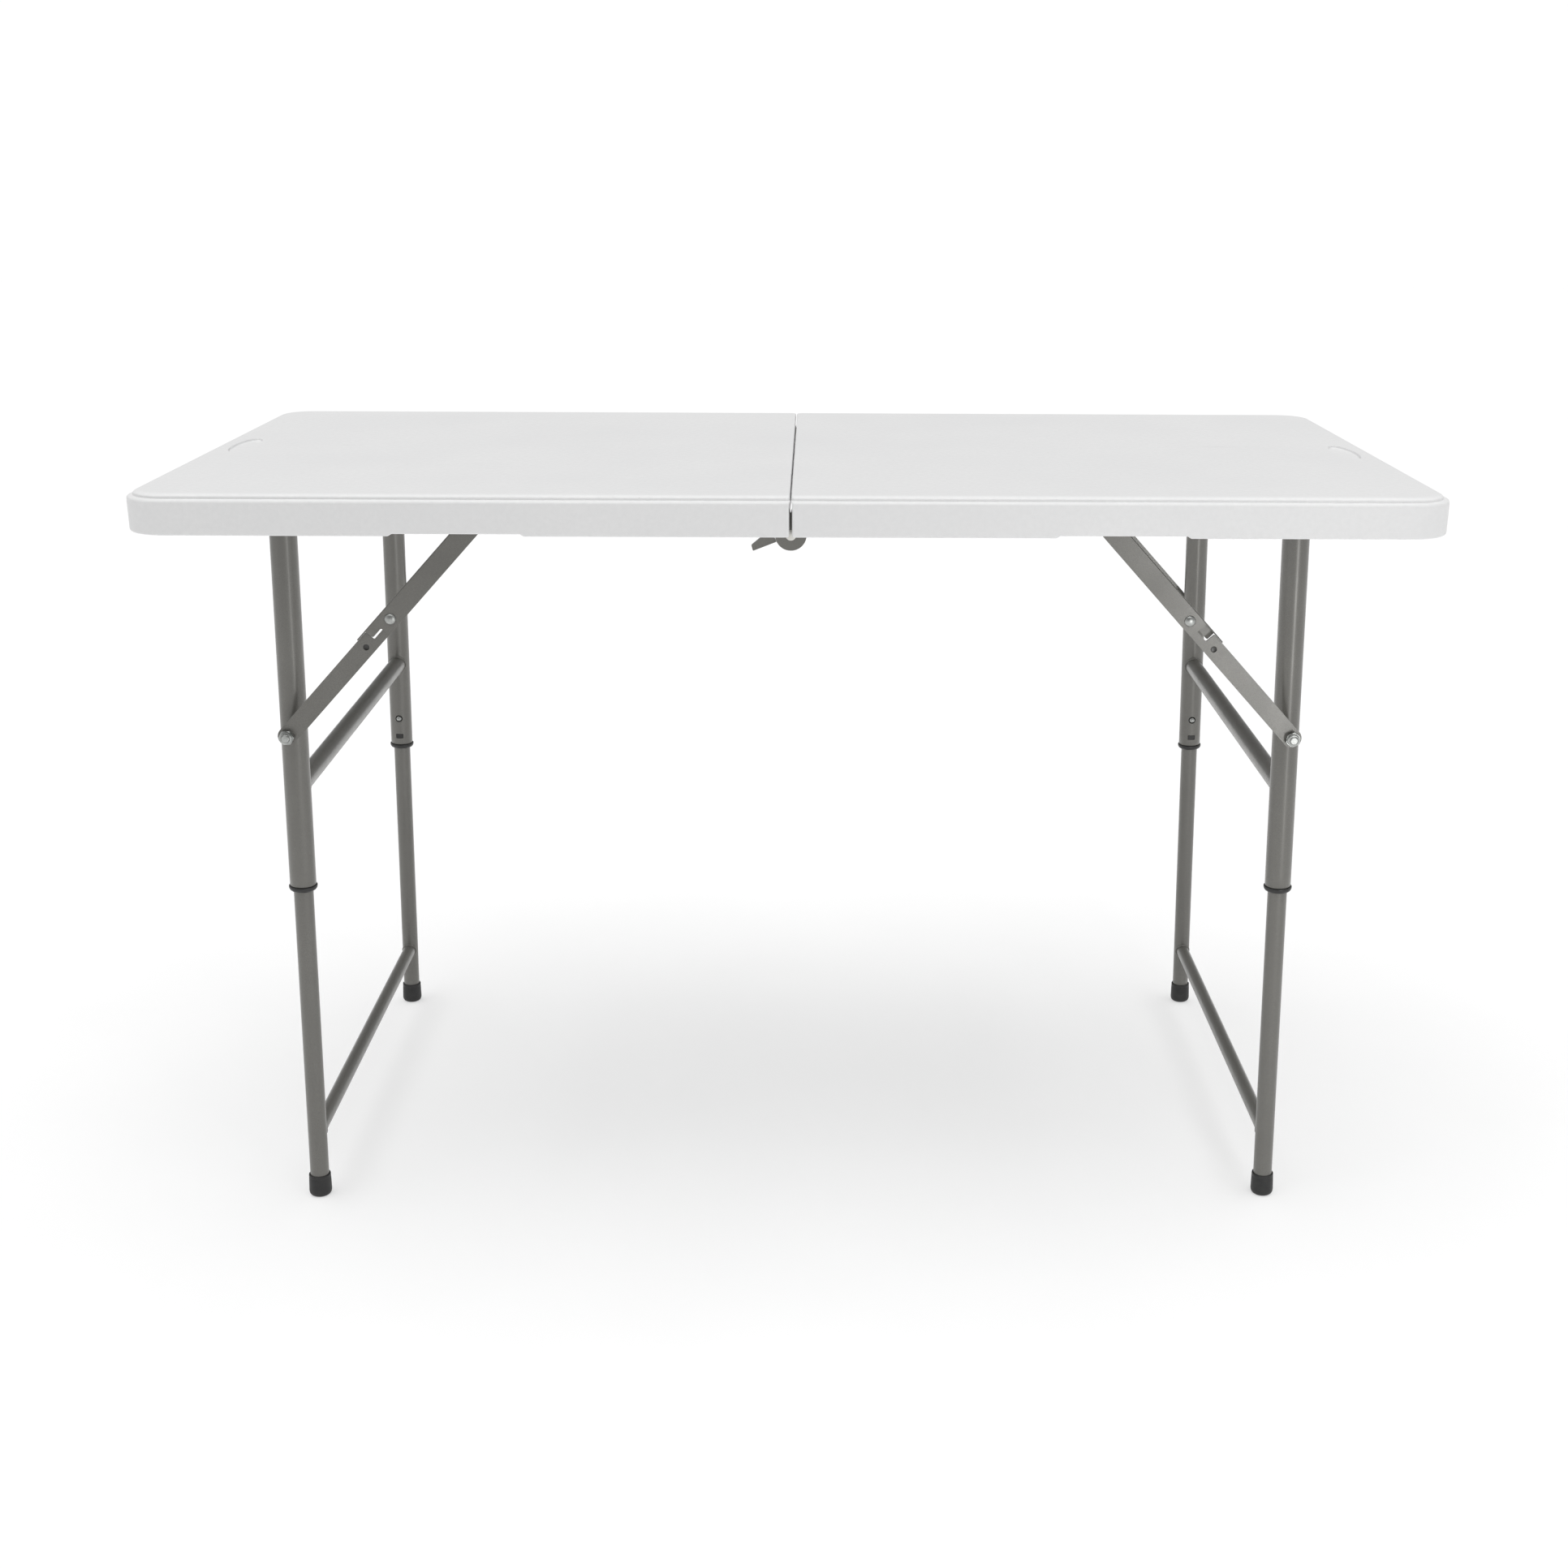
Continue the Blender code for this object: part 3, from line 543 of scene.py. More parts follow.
# ------------------------------------------------------------- moulded top halves
def lift(x, y, z):
    """How far the rim's lower edge rises at the relief."""
    if abs(y) < 0.25:
        return 0.0
    a, b = NOTCH
    s = min(smooth01((x - a) / NOTCH_RAMP), smooth01((b - x) / NOTCH_RAMP))
    return NOTCH_H * s * max(0.0, min(1.0, 1 - (z - Z_RIM) / 0.0115))


def stations():
    a, b = NOTCH
    xs = [0.016 + 0.0182 * i for i in range(30)]
    xs = [x for x in xs if not (a - 0.004 < x < a + 0.010 or b - 0.010 < x < b + 0.004)]
    xs += [a + NOTCH_RAMP * k / 6 for k in range(-1, 8)] + [b - NOTCH_RAMP * k / 6 for k in range(-1, 8)]
    return sorted(x for x in xs if x < 0.562)


XS = stations()


def outline_ring(xs0, d, rs, z, side, grow=0.0, rc=None):
    """Half-top outline at one level: seam at xs0, the other three sides inset by d."""
    hl, hw = HL - d, HW - d
    rc = max(CORNER_R - d, 0.004) if rc is None else rc
    pts = arc(hl - rc, hw - rc, rc, 0, 90, 16)
    pts += [(x, hw) for x in reversed(XS)]
    pts += arc(xs0 + rs, hw - rs, rs, 90, 180, 8)
    pts += [(xs0, y) for y in (0.24, 0.16, 0.08, 0.0, -0.08, -0.16, -0.24)]
    pts += arc(xs0 + rs, -hw + rs, rs, 180, 270, 8)
    pts += [(x, -hw) for x in XS]
    pts += arc(hl - rc, -hw + rc, rc, 270, 360, 16)
    pts += [(hl, y) for y in (-0.20, -0.12, -0.04, 0.04, 0.12, 0.20)]
    return [(side * x, y, z + lift(x, y, z)) for x, y in pts]


def seam_x(z):
    t = smooth01((H - 0.0046 - z) / 0.0024)
    return 0.00055 + (0.0013 - 0.00055) * t


def top_half(side, word):
    levels = [(0.0160, 0.0022, H), (0.0118, 0.0009, H - 0.00003), (0.0099, 0.0006, H - 0.00025),
              (0.0083, 0.0004, H - 0.00070), (0.0070, 0.0003, H - 0.0014), (0.0061, 0.0002, H - 0.0022),
              (0.0058, 0.0001, H - 0.0028), (0.0057, 0.0001, H - 0.0041), (0.0055, 0.0001, H - 0.0045),
              (0.0050, 0.0, H - 0.0047), (0.0043, 0.0, H - 0.00475), (0.0036, 0.0, H - 0.00475)]
    for k in range(9):
        a = math.radians(11.25 * k)
        levels.append((0.0030 * (1 - math.sin(a)), 0.0, H - 0.00475 - 0.0030 * (1 - math.cos(a))))
    levels += [(0.0, 0.0, H - 0.0120), (0.0, 0.0, H - 0.0190), (0.0001, 0.0, Z_RIM + 0.0115),
               (0.0002, 0.0, Z_RIM + 0.0070)]
    for k in range(8):
        a = math.radians(90 / 7 * k)
        levels.append((0.0002 + 0.0026 * (1 - math.cos(a)), 0.0012 * (1 - math.cos(a)),
                       Z_RIM + 0.0026 * (1 - math.sin(a))))
    levels += [(0.0060, 0.0024, Z_RIM), (0.0125, 0.0050, Z_RIM), (0.0185, 0.0080, Z_RIM)]
    rings = []
    for d, e, z in levels:
        rs = 0.0021 + 0.34 * d
        rings.append(outline_ring(seam_x(z) + e, d, rs, z, side))
    ob = loft('tabletop_' + word, rings)
    # hollow under the deck, with a rounded mouth and a rounded deck corner
    cr = []
    il, iw, ir = HL - RIM_W, HW - RIM_W, CORNER_R - RIM_W
    prof = [(0.0036, Z_DECK), (0.0018, Z_DECK - 0.0005), (0.0006, Z_DECK - 0.0016), (0.0, Z_DECK - 0.0034),
            (0.0, Z_RIM + 0.0095), (-0.0004, Z_RIM + 0.0068), (-0.0014, Z_RIM + 0.0048),
            (-0.0030, Z_RIM + 0.0036), (-0.0046, Z_RIM + 0.0031), (-0.0052, Z_RIM - 0.012)]
    for g, z in prof:
        l2, w2, r2 = il - g, iw - g, max(ir - g, 0.004)
        pts = (arc(l2 - r2, w2 - r2, r2, 0, 90, 12) + [(-0.012, w2), (-0.012, -w2)]
               + arc(l2 - r2, -w2 + r2, r2, 270, 360, 12))
        cr.append([(side * x, y, z) for x, y in pts])
    # the mouth only rounds the rim's inner edge; the rim keeps a flat foot
    cavity = loft('cavity', cr)
    # tack-off dimples moulded up into the deck
    bm = bmesh.new()
    prof = [(0.0094, -0.0008), (0.0088, 0.0001), (0.0080, 0.0007), (0.0072, 0.0018), (0.0062, 0.0038),
            (0.0052, 0.0048), (0.0038, 0.0052)]
    for i in range(13):
        for j in range(13):
            cx, cy = side * (0.0460 + 0.0412 * i), -0.2472 + 0.0412 * j
            prev = None
            first = None
            for r, h in prof:
                ring = [bm.verts.new((cx + r * math.cos(math.tau * q / 20), cy + r * math.sin(math.tau * q / 20),
                                      Z_DECK + h)) for q in range(20)]
                if prev:
                    for q in range(20):
                        bm.faces.new((prev[q], prev[(q + 1) % 20], ring[(q + 1) % 20], ring[q]))
                else:
                    first = ring
                prev = ring
            bm.faces.new(prev)
            bm.faces.new(list(reversed(first)))
    bmesh.ops.recalc_face_normals(bm, faces=bm.faces)
    me = bpy.data.meshes.new('dimples')
    bm.to_mesh(me)
    bm.free()
    dimples = link('dimples', me)
    # shallow plain oval recess near the end
    cx, cy = side * 0.5765, -side * 0.012
    rr = []
    for s, h in ((1.05, 0.004), (1.03, 0.0003), (1.0, -0.00005), (0.982, -0.0003), (0.970, -0.0010),
                 (0.958, -0.0018), (0.935, -0.0022), (0.88, -0.0024), (0.80, -0.0024)):
        rr.append([(cx + 0.0122 * (s if s > 1 else 1 - (1 - s) * 1.9) * math.cos(math.tau * q / 72),
                    cy + 0.0500 * (s if s > 1 else 1 - (1 - s) * 0.55) * math.sin(math.tau * q / 72), H + h)
                   for q in range(72)])
    recess = loft('recess', rr)
    boolean(ob, [cavity, dimples, recess])
    # the seam wall between the rails, a rounded downstand
    x0, x1 = 0.0013, 0.0113
    y0 = 0.225
    prof = [(x0, Z_DECK + 0.002), (x0, 0.7080), (x0 + 0.0006, 0.7069), (x0 + 0.0020, 0.7065),
            (x1 - 0.0030, 0.7065), (x1 - 0.0008, 0.7070), (x1, 0.7085), (x1 + 0.0004, 0.7240),
            (x1 + 0.0016, 0.7268), (x1 + 0.0036, Z_DECK + 0.0004), (x1 + 0.0036, Z_DECK + 0.002)]
    rb = [[(side * x, y, z) for x, z in prof] for y in (-y0, y0)]
    rib = loft('rib', rb)
    boolean(ob, [rib], 'UNION')
    return piece(ob, word + '_half', M_TOP, ['top_' + word], angle=38, weighted=True)


for s, w in SIDES:
    top_half(s, w)


# ----------------------------------------------------------------------- rails
def screw_head(name, x, y, z):
    """Pan head with a cross slot, facing down."""
    m = Matrix.Translation((x, y, z)) @ Matrix.Rotation(math.pi, 4, 'X')
    ob = lathe(name, [(0, 0.0023), (0.0012, 0.00228), (0.0024, 0.0020), (0.0033, 0.0013), (0.0037, 0.0006),
                      (0.0037, -0.0003), (0, -0.0003)], 28, m)
    a = plate(name + '_a', [(-0.0021, -0.00045), (0.0021, -0.00045), (0.0021, 0.00045), (-0.0021, 0.00045)],
              0.0009, 0.004, plane='XY', matrix=m)
    b = plate(name + '_b', [(-0.00045, -0.0021), (0.00045, -0.0021), (0.00045, 0.0021), (-0.00045, 0.0021)],
              0.0009, 0.0041, plane='XY', matrix=m)
    return boolean(ob, [a, b])


def rail(side, word, f, fw):
    name = 'rail_%s_%s' % (fw, word)
    start = 180 - math.degrees(math.asin((RAIL_Z0 - HINGE_Z) / DISC_R))
    # right-side drawing: web from the disc at the seam to the far end
    disc = [(-x, z) for x, z in arc(0, HINGE_Z, DISC_R, start, start + 272, 56)]
    out = [(RAIL_END, RAIL_Z0)] + disc + [(0.002, RAIL_Z1 - 0.0012), (RAIL_END, RAIL_Z1 - 0.0012)]
    holes = [circle(X_AXLE, Z_AXLE, AXLE_R + 0.0004, 48), circle(D_BRACE_X, Z_AXLE, 0.0032, 24),
             circle(0, HINGE_Z, PIN_R + 0.0003, 24)]
    if side < 0 and f < 0:
        holes.append(circle(-LATCH_P[0], LATCH_P[1], 0.0032, 24))
    if side < 0:
        out = [(-x, z) for x, z in reversed(out)]
        holes = [[(-x, z) for x, z in h] for h in holes]
    y0, y1 = yspan(f, RAIL_IN, RAIL_OUT)
    ob = plate(name + '_visual', out, y0, y1, holes)
    if side > 0:
        # step the sheet inwards so that its disc lies beside the left one
        bm = bmesh.new()
        bm.from_mesh(ob.data)
        for x in (0.0215, 0.0245, 0.0275, 0.0305, 0.0335, 0.0365, 0.0400):
            geom = bm.verts[:] + bm.edges[:] + bm.faces[:]
            bmesh.ops.bisect_plane(bm, geom=geom, plane_co=(x, 0, 0), plane_no=(1, 0, 0))
        for v in bm.verts:
            v.co.y -= f * 0.0020 * (1 - smooth01((v.co.x - 0.0215) / 0.0185))
        bm.to_mesh(ob.data)
        bm.free()
    # lip under the deck, with the bend
    xa, xb = (0.0045, RAIL_END - 0.0006)
    ri, ro = 0.0012, 0.0027
    zt, zb = 0.7284, 0.7269
    prof = [(RAIL_OUT, RAIL_Z1 - 0.0035)]
    prof += [(RAIL_OUT - ro + ro * math.cos(math.radians(a)), zt - ro + ro * math.sin(math.radians(a)))
             for a in range(0, 91, 15)]
    prof += [(RAIL_LIP, zt), (RAIL_LIP, zb)]
    prof += [(RAIL_IN - ri + ri * math.cos(math.radians(a)), zb - ri + ri * math.sin(math.radians(a)))
             for a in range(90, -1, -18)]
    prof += [(RAIL_IN, RAIL_Z1 - 0.0035)]
    lip = loft('lip', [[(side * x, f * (y if side < 0 or x > 0.03 else y), z) for y, z in prof]
                       for x in (xa if side < 0 else 0.0420, xb)])
    boolean(ob, [lip], 'UNION')
    if side > 0:
        # the lip's short end over the stepped disc
        lip2 = loft('lip2', [[(x, f * (y - 0.0020), z) for y, z in prof] for x in (xa, 0.0212)])
        boolean(ob, [lip2], 'UNION')
    piece(ob, word + '_half', M_STEEL, [name], angle=30)
    heads = []
    for k, x in enumerate((0.060, 0.145, 0.228, 0.503, 0.548)):
        heads.append(screw_head('screw', side * x, f * 0.2765, 0.7269))
    piece(join('deck_screws_%s_%s' % (fw, word), heads), word + '_half', M_ZINC, angle=30)


for s, w in SIDES:
    for f, fw in FACES:
        rail(s, w, f, fw)

for f, fw in FACES:
    prof = [(0.0, 0.28935), (0.0018, 0.28930), (0.0034, 0.28905), (0.0045, 0.28865), (0.0050, 0.2882),
            (0.0050, 0.28800), (PIN_R, 0.28800), (PIN_R, 0.28390), (0.0060, 0.28390), (0.0062, 0.28370),
            (0.0062, 0.2832), (0.0055, 0.2828), (0.0, 0.2828)]
    ob = lathe('hinge_pin_%s_visual' % fw, prof, 48, Matrix.Translation((0, 0, HINGE_Z)) @ outward(f))
    piece(ob, 'left_half', M_PIN, ['hinge_pin_' + fw])

# latch lever: pressed plate with a folded thumb edge
lx, lz = LATCH_P
out = [(-0.0133, 0.6923), (-0.0148, 0.6962), (-0.0150, 0.6996), (-0.0143, 0.7036), (-0.0190, 0.7120),
       (-0.0222, 0.7180), (-0.0275, 0.7205), (-0.0330, 0.7198), (-0.0372, 0.7155), (-0.0374, 0.7095),
       (-0.0330, 0.7050), (-0.0238, 0.6995), (-0.0363, 0.6888), (-0.0350, 0.6838)]
ob = plate('latch_lever_visual', fillet(out, [0.0003, 0.002, 0.003, 0.0012, 0.004, 0.004, 0.004, 0.004, 0.004,
                                             0.004, 0.004, 0.002, 0.0008, 0.0009], 4),
           -HUB_OUT, -HUB_IN, [circle(lx, lz, 0.0031, 24)])
tab = plate('latch_tab', fillet([(-0.0226, 0.7006), (-0.0363, 0.6890), (-0.0361, 0.6874), (-0.0216, 0.6996)],
                                [0.0003] * 4, 2), -HUB_OUT + 0.0001, -0.2808)
boolean(ob, [tab], 'UNION')
piece(bevel(ob, 0.00018, 2), 'latch', M_STEEL, ['latch_lever'], angle=30, weighted=True)
prof = [(0.0, 0.28865), (0.0030, 0.28860), (0.0046, 0.28840), (0.0052, 0.28800), (0.0030, 0.28800),
        (0.0030, 0.28390), (0.0048, 0.28390), (0.0052, 0.2836), (0.0048, 0.2830), (0.0, 0.2828)]
piece(lathe('latch_pin_visual', prof, 40, Matrix.Translation((lx, 0, lz)) @ outward(-1)),
      'left_half', M_ZINC, ['latch_pin'])


# ------------------------------------------------------------------- leg frames
def weld(name, rb, R, y, inward, z, hub, seed, span=None):
    """Rippled fillet weld where a bar of radius rb meets a tube of radius R."""
    k = 108
    pts, radii, ups = [], [], []
    for i in range(k):
        t = math.tau * i / k if span is None else math.radians(span[0] + (span[1] - span[0]) * i / (k - 1))
        rr = rb + 0.00035
        x, dz = rr * math.cos(t), rr * math.sin(t)
        yy = math.sqrt(max(R * R - x * x, 1e-9))
        pts.append((x, y + inward * (yy + 0.0001), z + dz))
        ups.append((x / R, inward * yy / R, 0.0))
        w = noise.noise(Vector((x * 170 + seed * 3.1, dz * 170, seed))) * 0.00032
        radii.append(0.00135 + w + 0.00013 * abs(math.sin(t * 17 + seed)))
    if span is not None:
        for i in range(5):
            radii[i] *= (i + 1) / 6
            radii[-1 - i] *= (i + 1) / 6
    ob = sweep(name, pts, radii, 10, span is None, ups)
    ob.data.transform(hub)
    return ob


def bar(name, r, wall, reach, z, leg_r, hub):
    a = [(r, -reach), (r, reach), (r - wall, reach), (r - wall, -reach)]
    rows = [(r, -reach + 2 * reach * k / 24) for k in range(25)]
    prof = rows + [(r - wall, reach), (r - wall, -reach)]
    ob = lathe(name, prof, 48, Matrix.Translation((0, 0, z)) @ Matrix.Rotation(math.radians(-90), 4, 'X'))
    tools = []
    for f in (-1, 1):
        tools.append(lathe('mouth', [(0, z - 0.04), (leg_r, z - 0.04), (leg_r, z + 0.04), (0, z + 0.04)], 64,
                           Matrix.Translation((0, f * Y_LEG, 0))))
    boolean(ob, tools)
    ob.data.transform(hub)
    return ob


def leg_frame(side, word):
    hub = Matrix.Translation((side * X_AXLE, 0, Z_AXLE)) @ Matrix.Rotation(-side * SPLAY, 4, 'Y')
    frame_body, lower_body = 'leg_frame_' + word, 'lower_frame_' + word
    # axle, open at its ends, with rolled edges
    e = 0.2887
    prof = ([(AXLE_R - 0.0006, -e), (AXLE_R, -e + 0.0006)]
            + [(AXLE_R, -0.28 + 0.56 * k / 16) for k in range(17)]
            + [(AXLE_R, e - 0.0006), (AXLE_R - 0.0006, e), (AXLE_R - 0.0013, e), (AXLE_R - 0.0013, -e)])
    ob = lathe('axle_tube_%s_visual' % word, prof, 48, hub @ Matrix.Rotation(math.radians(-90), 4, 'X'))
    piece(ob, frame_body, M_STEEL, ['axle_tube_' + word])
    d_up, d_low = -along(Z_UP_BAR), -along(Z_LOW_BAR)
    piece(bar('upper_crossbar_%s_visual' % word, UP_BAR_R, 0.0013, Y_LEG - OUT_R * 0.62, d_up, OUT_R - 0.0004, hub),
          frame_body, M_STEEL, ['upper_crossbar_' + word])
    piece(bar('lower_crossbar_%s_visual' % word, LOW_BAR_R, 0.0012, Y_LEG - IN_R * 0.62, d_low, IN_R - 0.0004, hub),
          lower_body, M_STEEL, ['lower_crossbar_' + word])
    beads_up, beads_low = [], []
    for f, fw in FACES:
        y, inward = f * Y_LEG, -f
        tag = '%s_%s' % (fw, word)
        end = -along(Z_OUT_END)
        seed = 7 + side * 2 + f
        beads_up.append(weld('bead', UP_BAR_R, OUT_R, y, inward, d_up, hub, seed))
        beads_up.append(weld('bead', AXLE_R, OUT_R, y, inward, 0.0, hub, seed + 11, (-191, 11)))
        beads_up.append(weld('bead', AXLE_R, OUT_R, y, -inward, 0.0, hub, seed + 17, (-191, 11)))
        beads_low.append(weld('bead', LOW_BAR_R, IN_R, y, inward, d_low, hub, seed + 23))
        # outer tube
        n_z = 30
        rows = [(OUT_R, LEG_TOP + (end + 0.0008 - LEG_TOP) * k / n_z) for k in range(n_z + 1)]
        prof = (rows + [(OUT_R - 0.00025, end + 0.0002), (OUT_R - 0.0005, end), (OUT_IN, end),
                        (OUT_IN, LEG_TOP)])
        o = lathe('outer_leg_%s_visual' % tag, prof, 64, Matrix.Translation((0, y, 0)))
        w0, w1 = sorted((y + inward * 0.004, y + inward * 0.02))
        e0, e1 = sorted((y - inward * 0.004, y - inward * 0.02))
        win = -along(Z_WINDOW)
        boolean(o, [rod_y('eye', AXLE_R + 0.0001, y - 0.02, y + 0.02, 0, 0, 48),
                    rod_y('stud_eye', 0.0040, e0, e1, 0, -LEG_BOLT, 32),
                    rod_y('button_eye', 0.0042, w0, w1, 0, -along(Z_BUTTON), 32),
                    plate('window', fillet([(-0.0043, win - 0.0028), (0.0043, win - 0.0028),
                                            (0.0043, win + 0.0028), (-0.0043, win + 0.0028)], 0.0007, 4), w0, w1)])
        o.data.transform(hub)
        piece(o, frame_body, M_STEEL, ['outer_leg_' + tag], angle=28)
        # inner tube
        it, ib = -along(Z_IN_TOP), -LEG_L + 0.0053
        rows = [(IN_R, it + (ib - it) * k / n_z) for k in range(n_z + 1)]
        i = lathe('inner_leg_%s_visual' % tag, rows + [(IN_IN, ib), (IN_IN, it)], 56, Matrix.Translation((0, y, 0)))
        v0, v1 = sorted((y + inward * 0.003, y + inward * 0.02))
        boolean(i, [rod_y('seat', 0.0042, v0, v1, 0, -along(Z_BUTTON), 32)])
        i.data.transform(hub)
        piece(i, lower_body, M_STEEL, ['inner_leg_' + tag], angle=28)
        # bush: sleeve in the tube, rolled collar below it, tab in the window
        prof = [(0.0112, end + 0.0245), (0.0112, end - 0.0001), (0.0130, end - 0.0001), (0.0136, end - 0.0004),
                (0.0138, end - 0.0010), (0.0138, end - 0.0022), (0.0134, end - 0.0034), (0.0126, end - 0.0046),
                (0.0116, end - 0.0053), (0.0104, end - 0.0056), (0.0099, end - 0.0052), (0.0098, end - 0.0040),
                (0.0098, end + 0.0245)]
        b = lathe('bush_%s_visual' % tag, prof, 64, Matrix.Translation((0, y, 0)))
        t0, t1 = sorted((y + inward * 0.0103, y + inward * 0.0124))
        tab = plate('tab', fillet([(-0.0039, win - 0.0024), (0.0039, win - 0.0024), (0.0039, win + 0.0024),
                                   (-0.0039, win + 0.0024)], 0.0006, 4), t0, t1)
        boolean(b, [tab], 'UNION')
        b.data.transform(hub)
        piece(b, frame_body, M_BLACK, ['bush_' + tag])
        # foot: moulded cap with a rolled top edge, a shallow groove and a level tread
        fb = -LEG_L
        prof = [(0.00965, fb + 0.0232), (0.0099, fb + 0.0236), (0.0104, fb + 0.0236), (0.0108, fb + 0.0233),
                (0.0110, fb + 0.0227), (0.01105, fb + 0.0212), (0.01095, fb + 0.0206), (0.01095, fb + 0.0200),
                (0.0111, fb + 0.0194), (0.01125, fb + 0.0150), (0.0114, fb + 0.0090), (0.0115, fb + 0.0055),
                (0.01135, fb + 0.0038), (0.0109, fb + 0.0023), (0.0102, fb + 0.0012), (0.0093, fb + 0.0005),
                (0.0087, fb + 0.0002), (0.0078, fb - 0.0008), (0.0, fb - 0.0008), (0.0, fb + 0.0050),
                (0.0096, fb + 0.0050)]
        foot = lathe('foot_%s_visual' % tag, prof, 64, Matrix.Translation((0, y, 0)))
        foot.data.transform(hub)
        for v in foot.data.vertices:
            v.co.z = max(v.co.z, 0.0)
        piece(foot, lower_body, M_RUBBER, ['foot_' + tag])
        # spring button
        prof = [(0.0, 0.01475)] + [(BUTTON_R * math.sin(math.radians(a)),
                                    0.01155 + 0.0032 * math.cos(math.radians(a))) for a in range(12, 91, 13)]
        prof += [(BUTTON_R, 0.01150), (0.0, 0.01150)]
        ob = lathe('snap_button_%s_visual' % tag, prof, 32,
                   hub @ Matrix.Translation((0, y, -along(Z_BUTTON))) @ outward(inward))
        piece(ob, 'button_' + tag, M_ZINC, ['snap_button_' + tag])
        # shoulder stud for the brace
        s0 = Y_LEG + OUT_R
        prof = [(0.0, COLLAR_END), (0.0056, COLLAR_END), (0.0060, COLLAR_END - 0.0004), (0.0060, s0 - 0.0003),
                (0.0039, s0 - 0.0003), (0.0039, Y_LEG + 0.0105), (0.0, Y_LEG + 0.0105)]
        ob = lathe('brace_stud_%s_visual' % tag, prof, 40,
                   hub @ Matrix.Translation((0, 0, -LEG_BOLT)) @ outward(f))
        piece(ob, frame_body, M_ZINC, ['brace_stud_' + tag])
    piece(join('welds_frame_' + word, beads_up), frame_body, M_STEEL, angle=60)
    piece(join('welds_lower_' + word, beads_low), lower_body, M_STEEL, angle=60)


for s, w in SIDES:
    leg_frame(s, w)


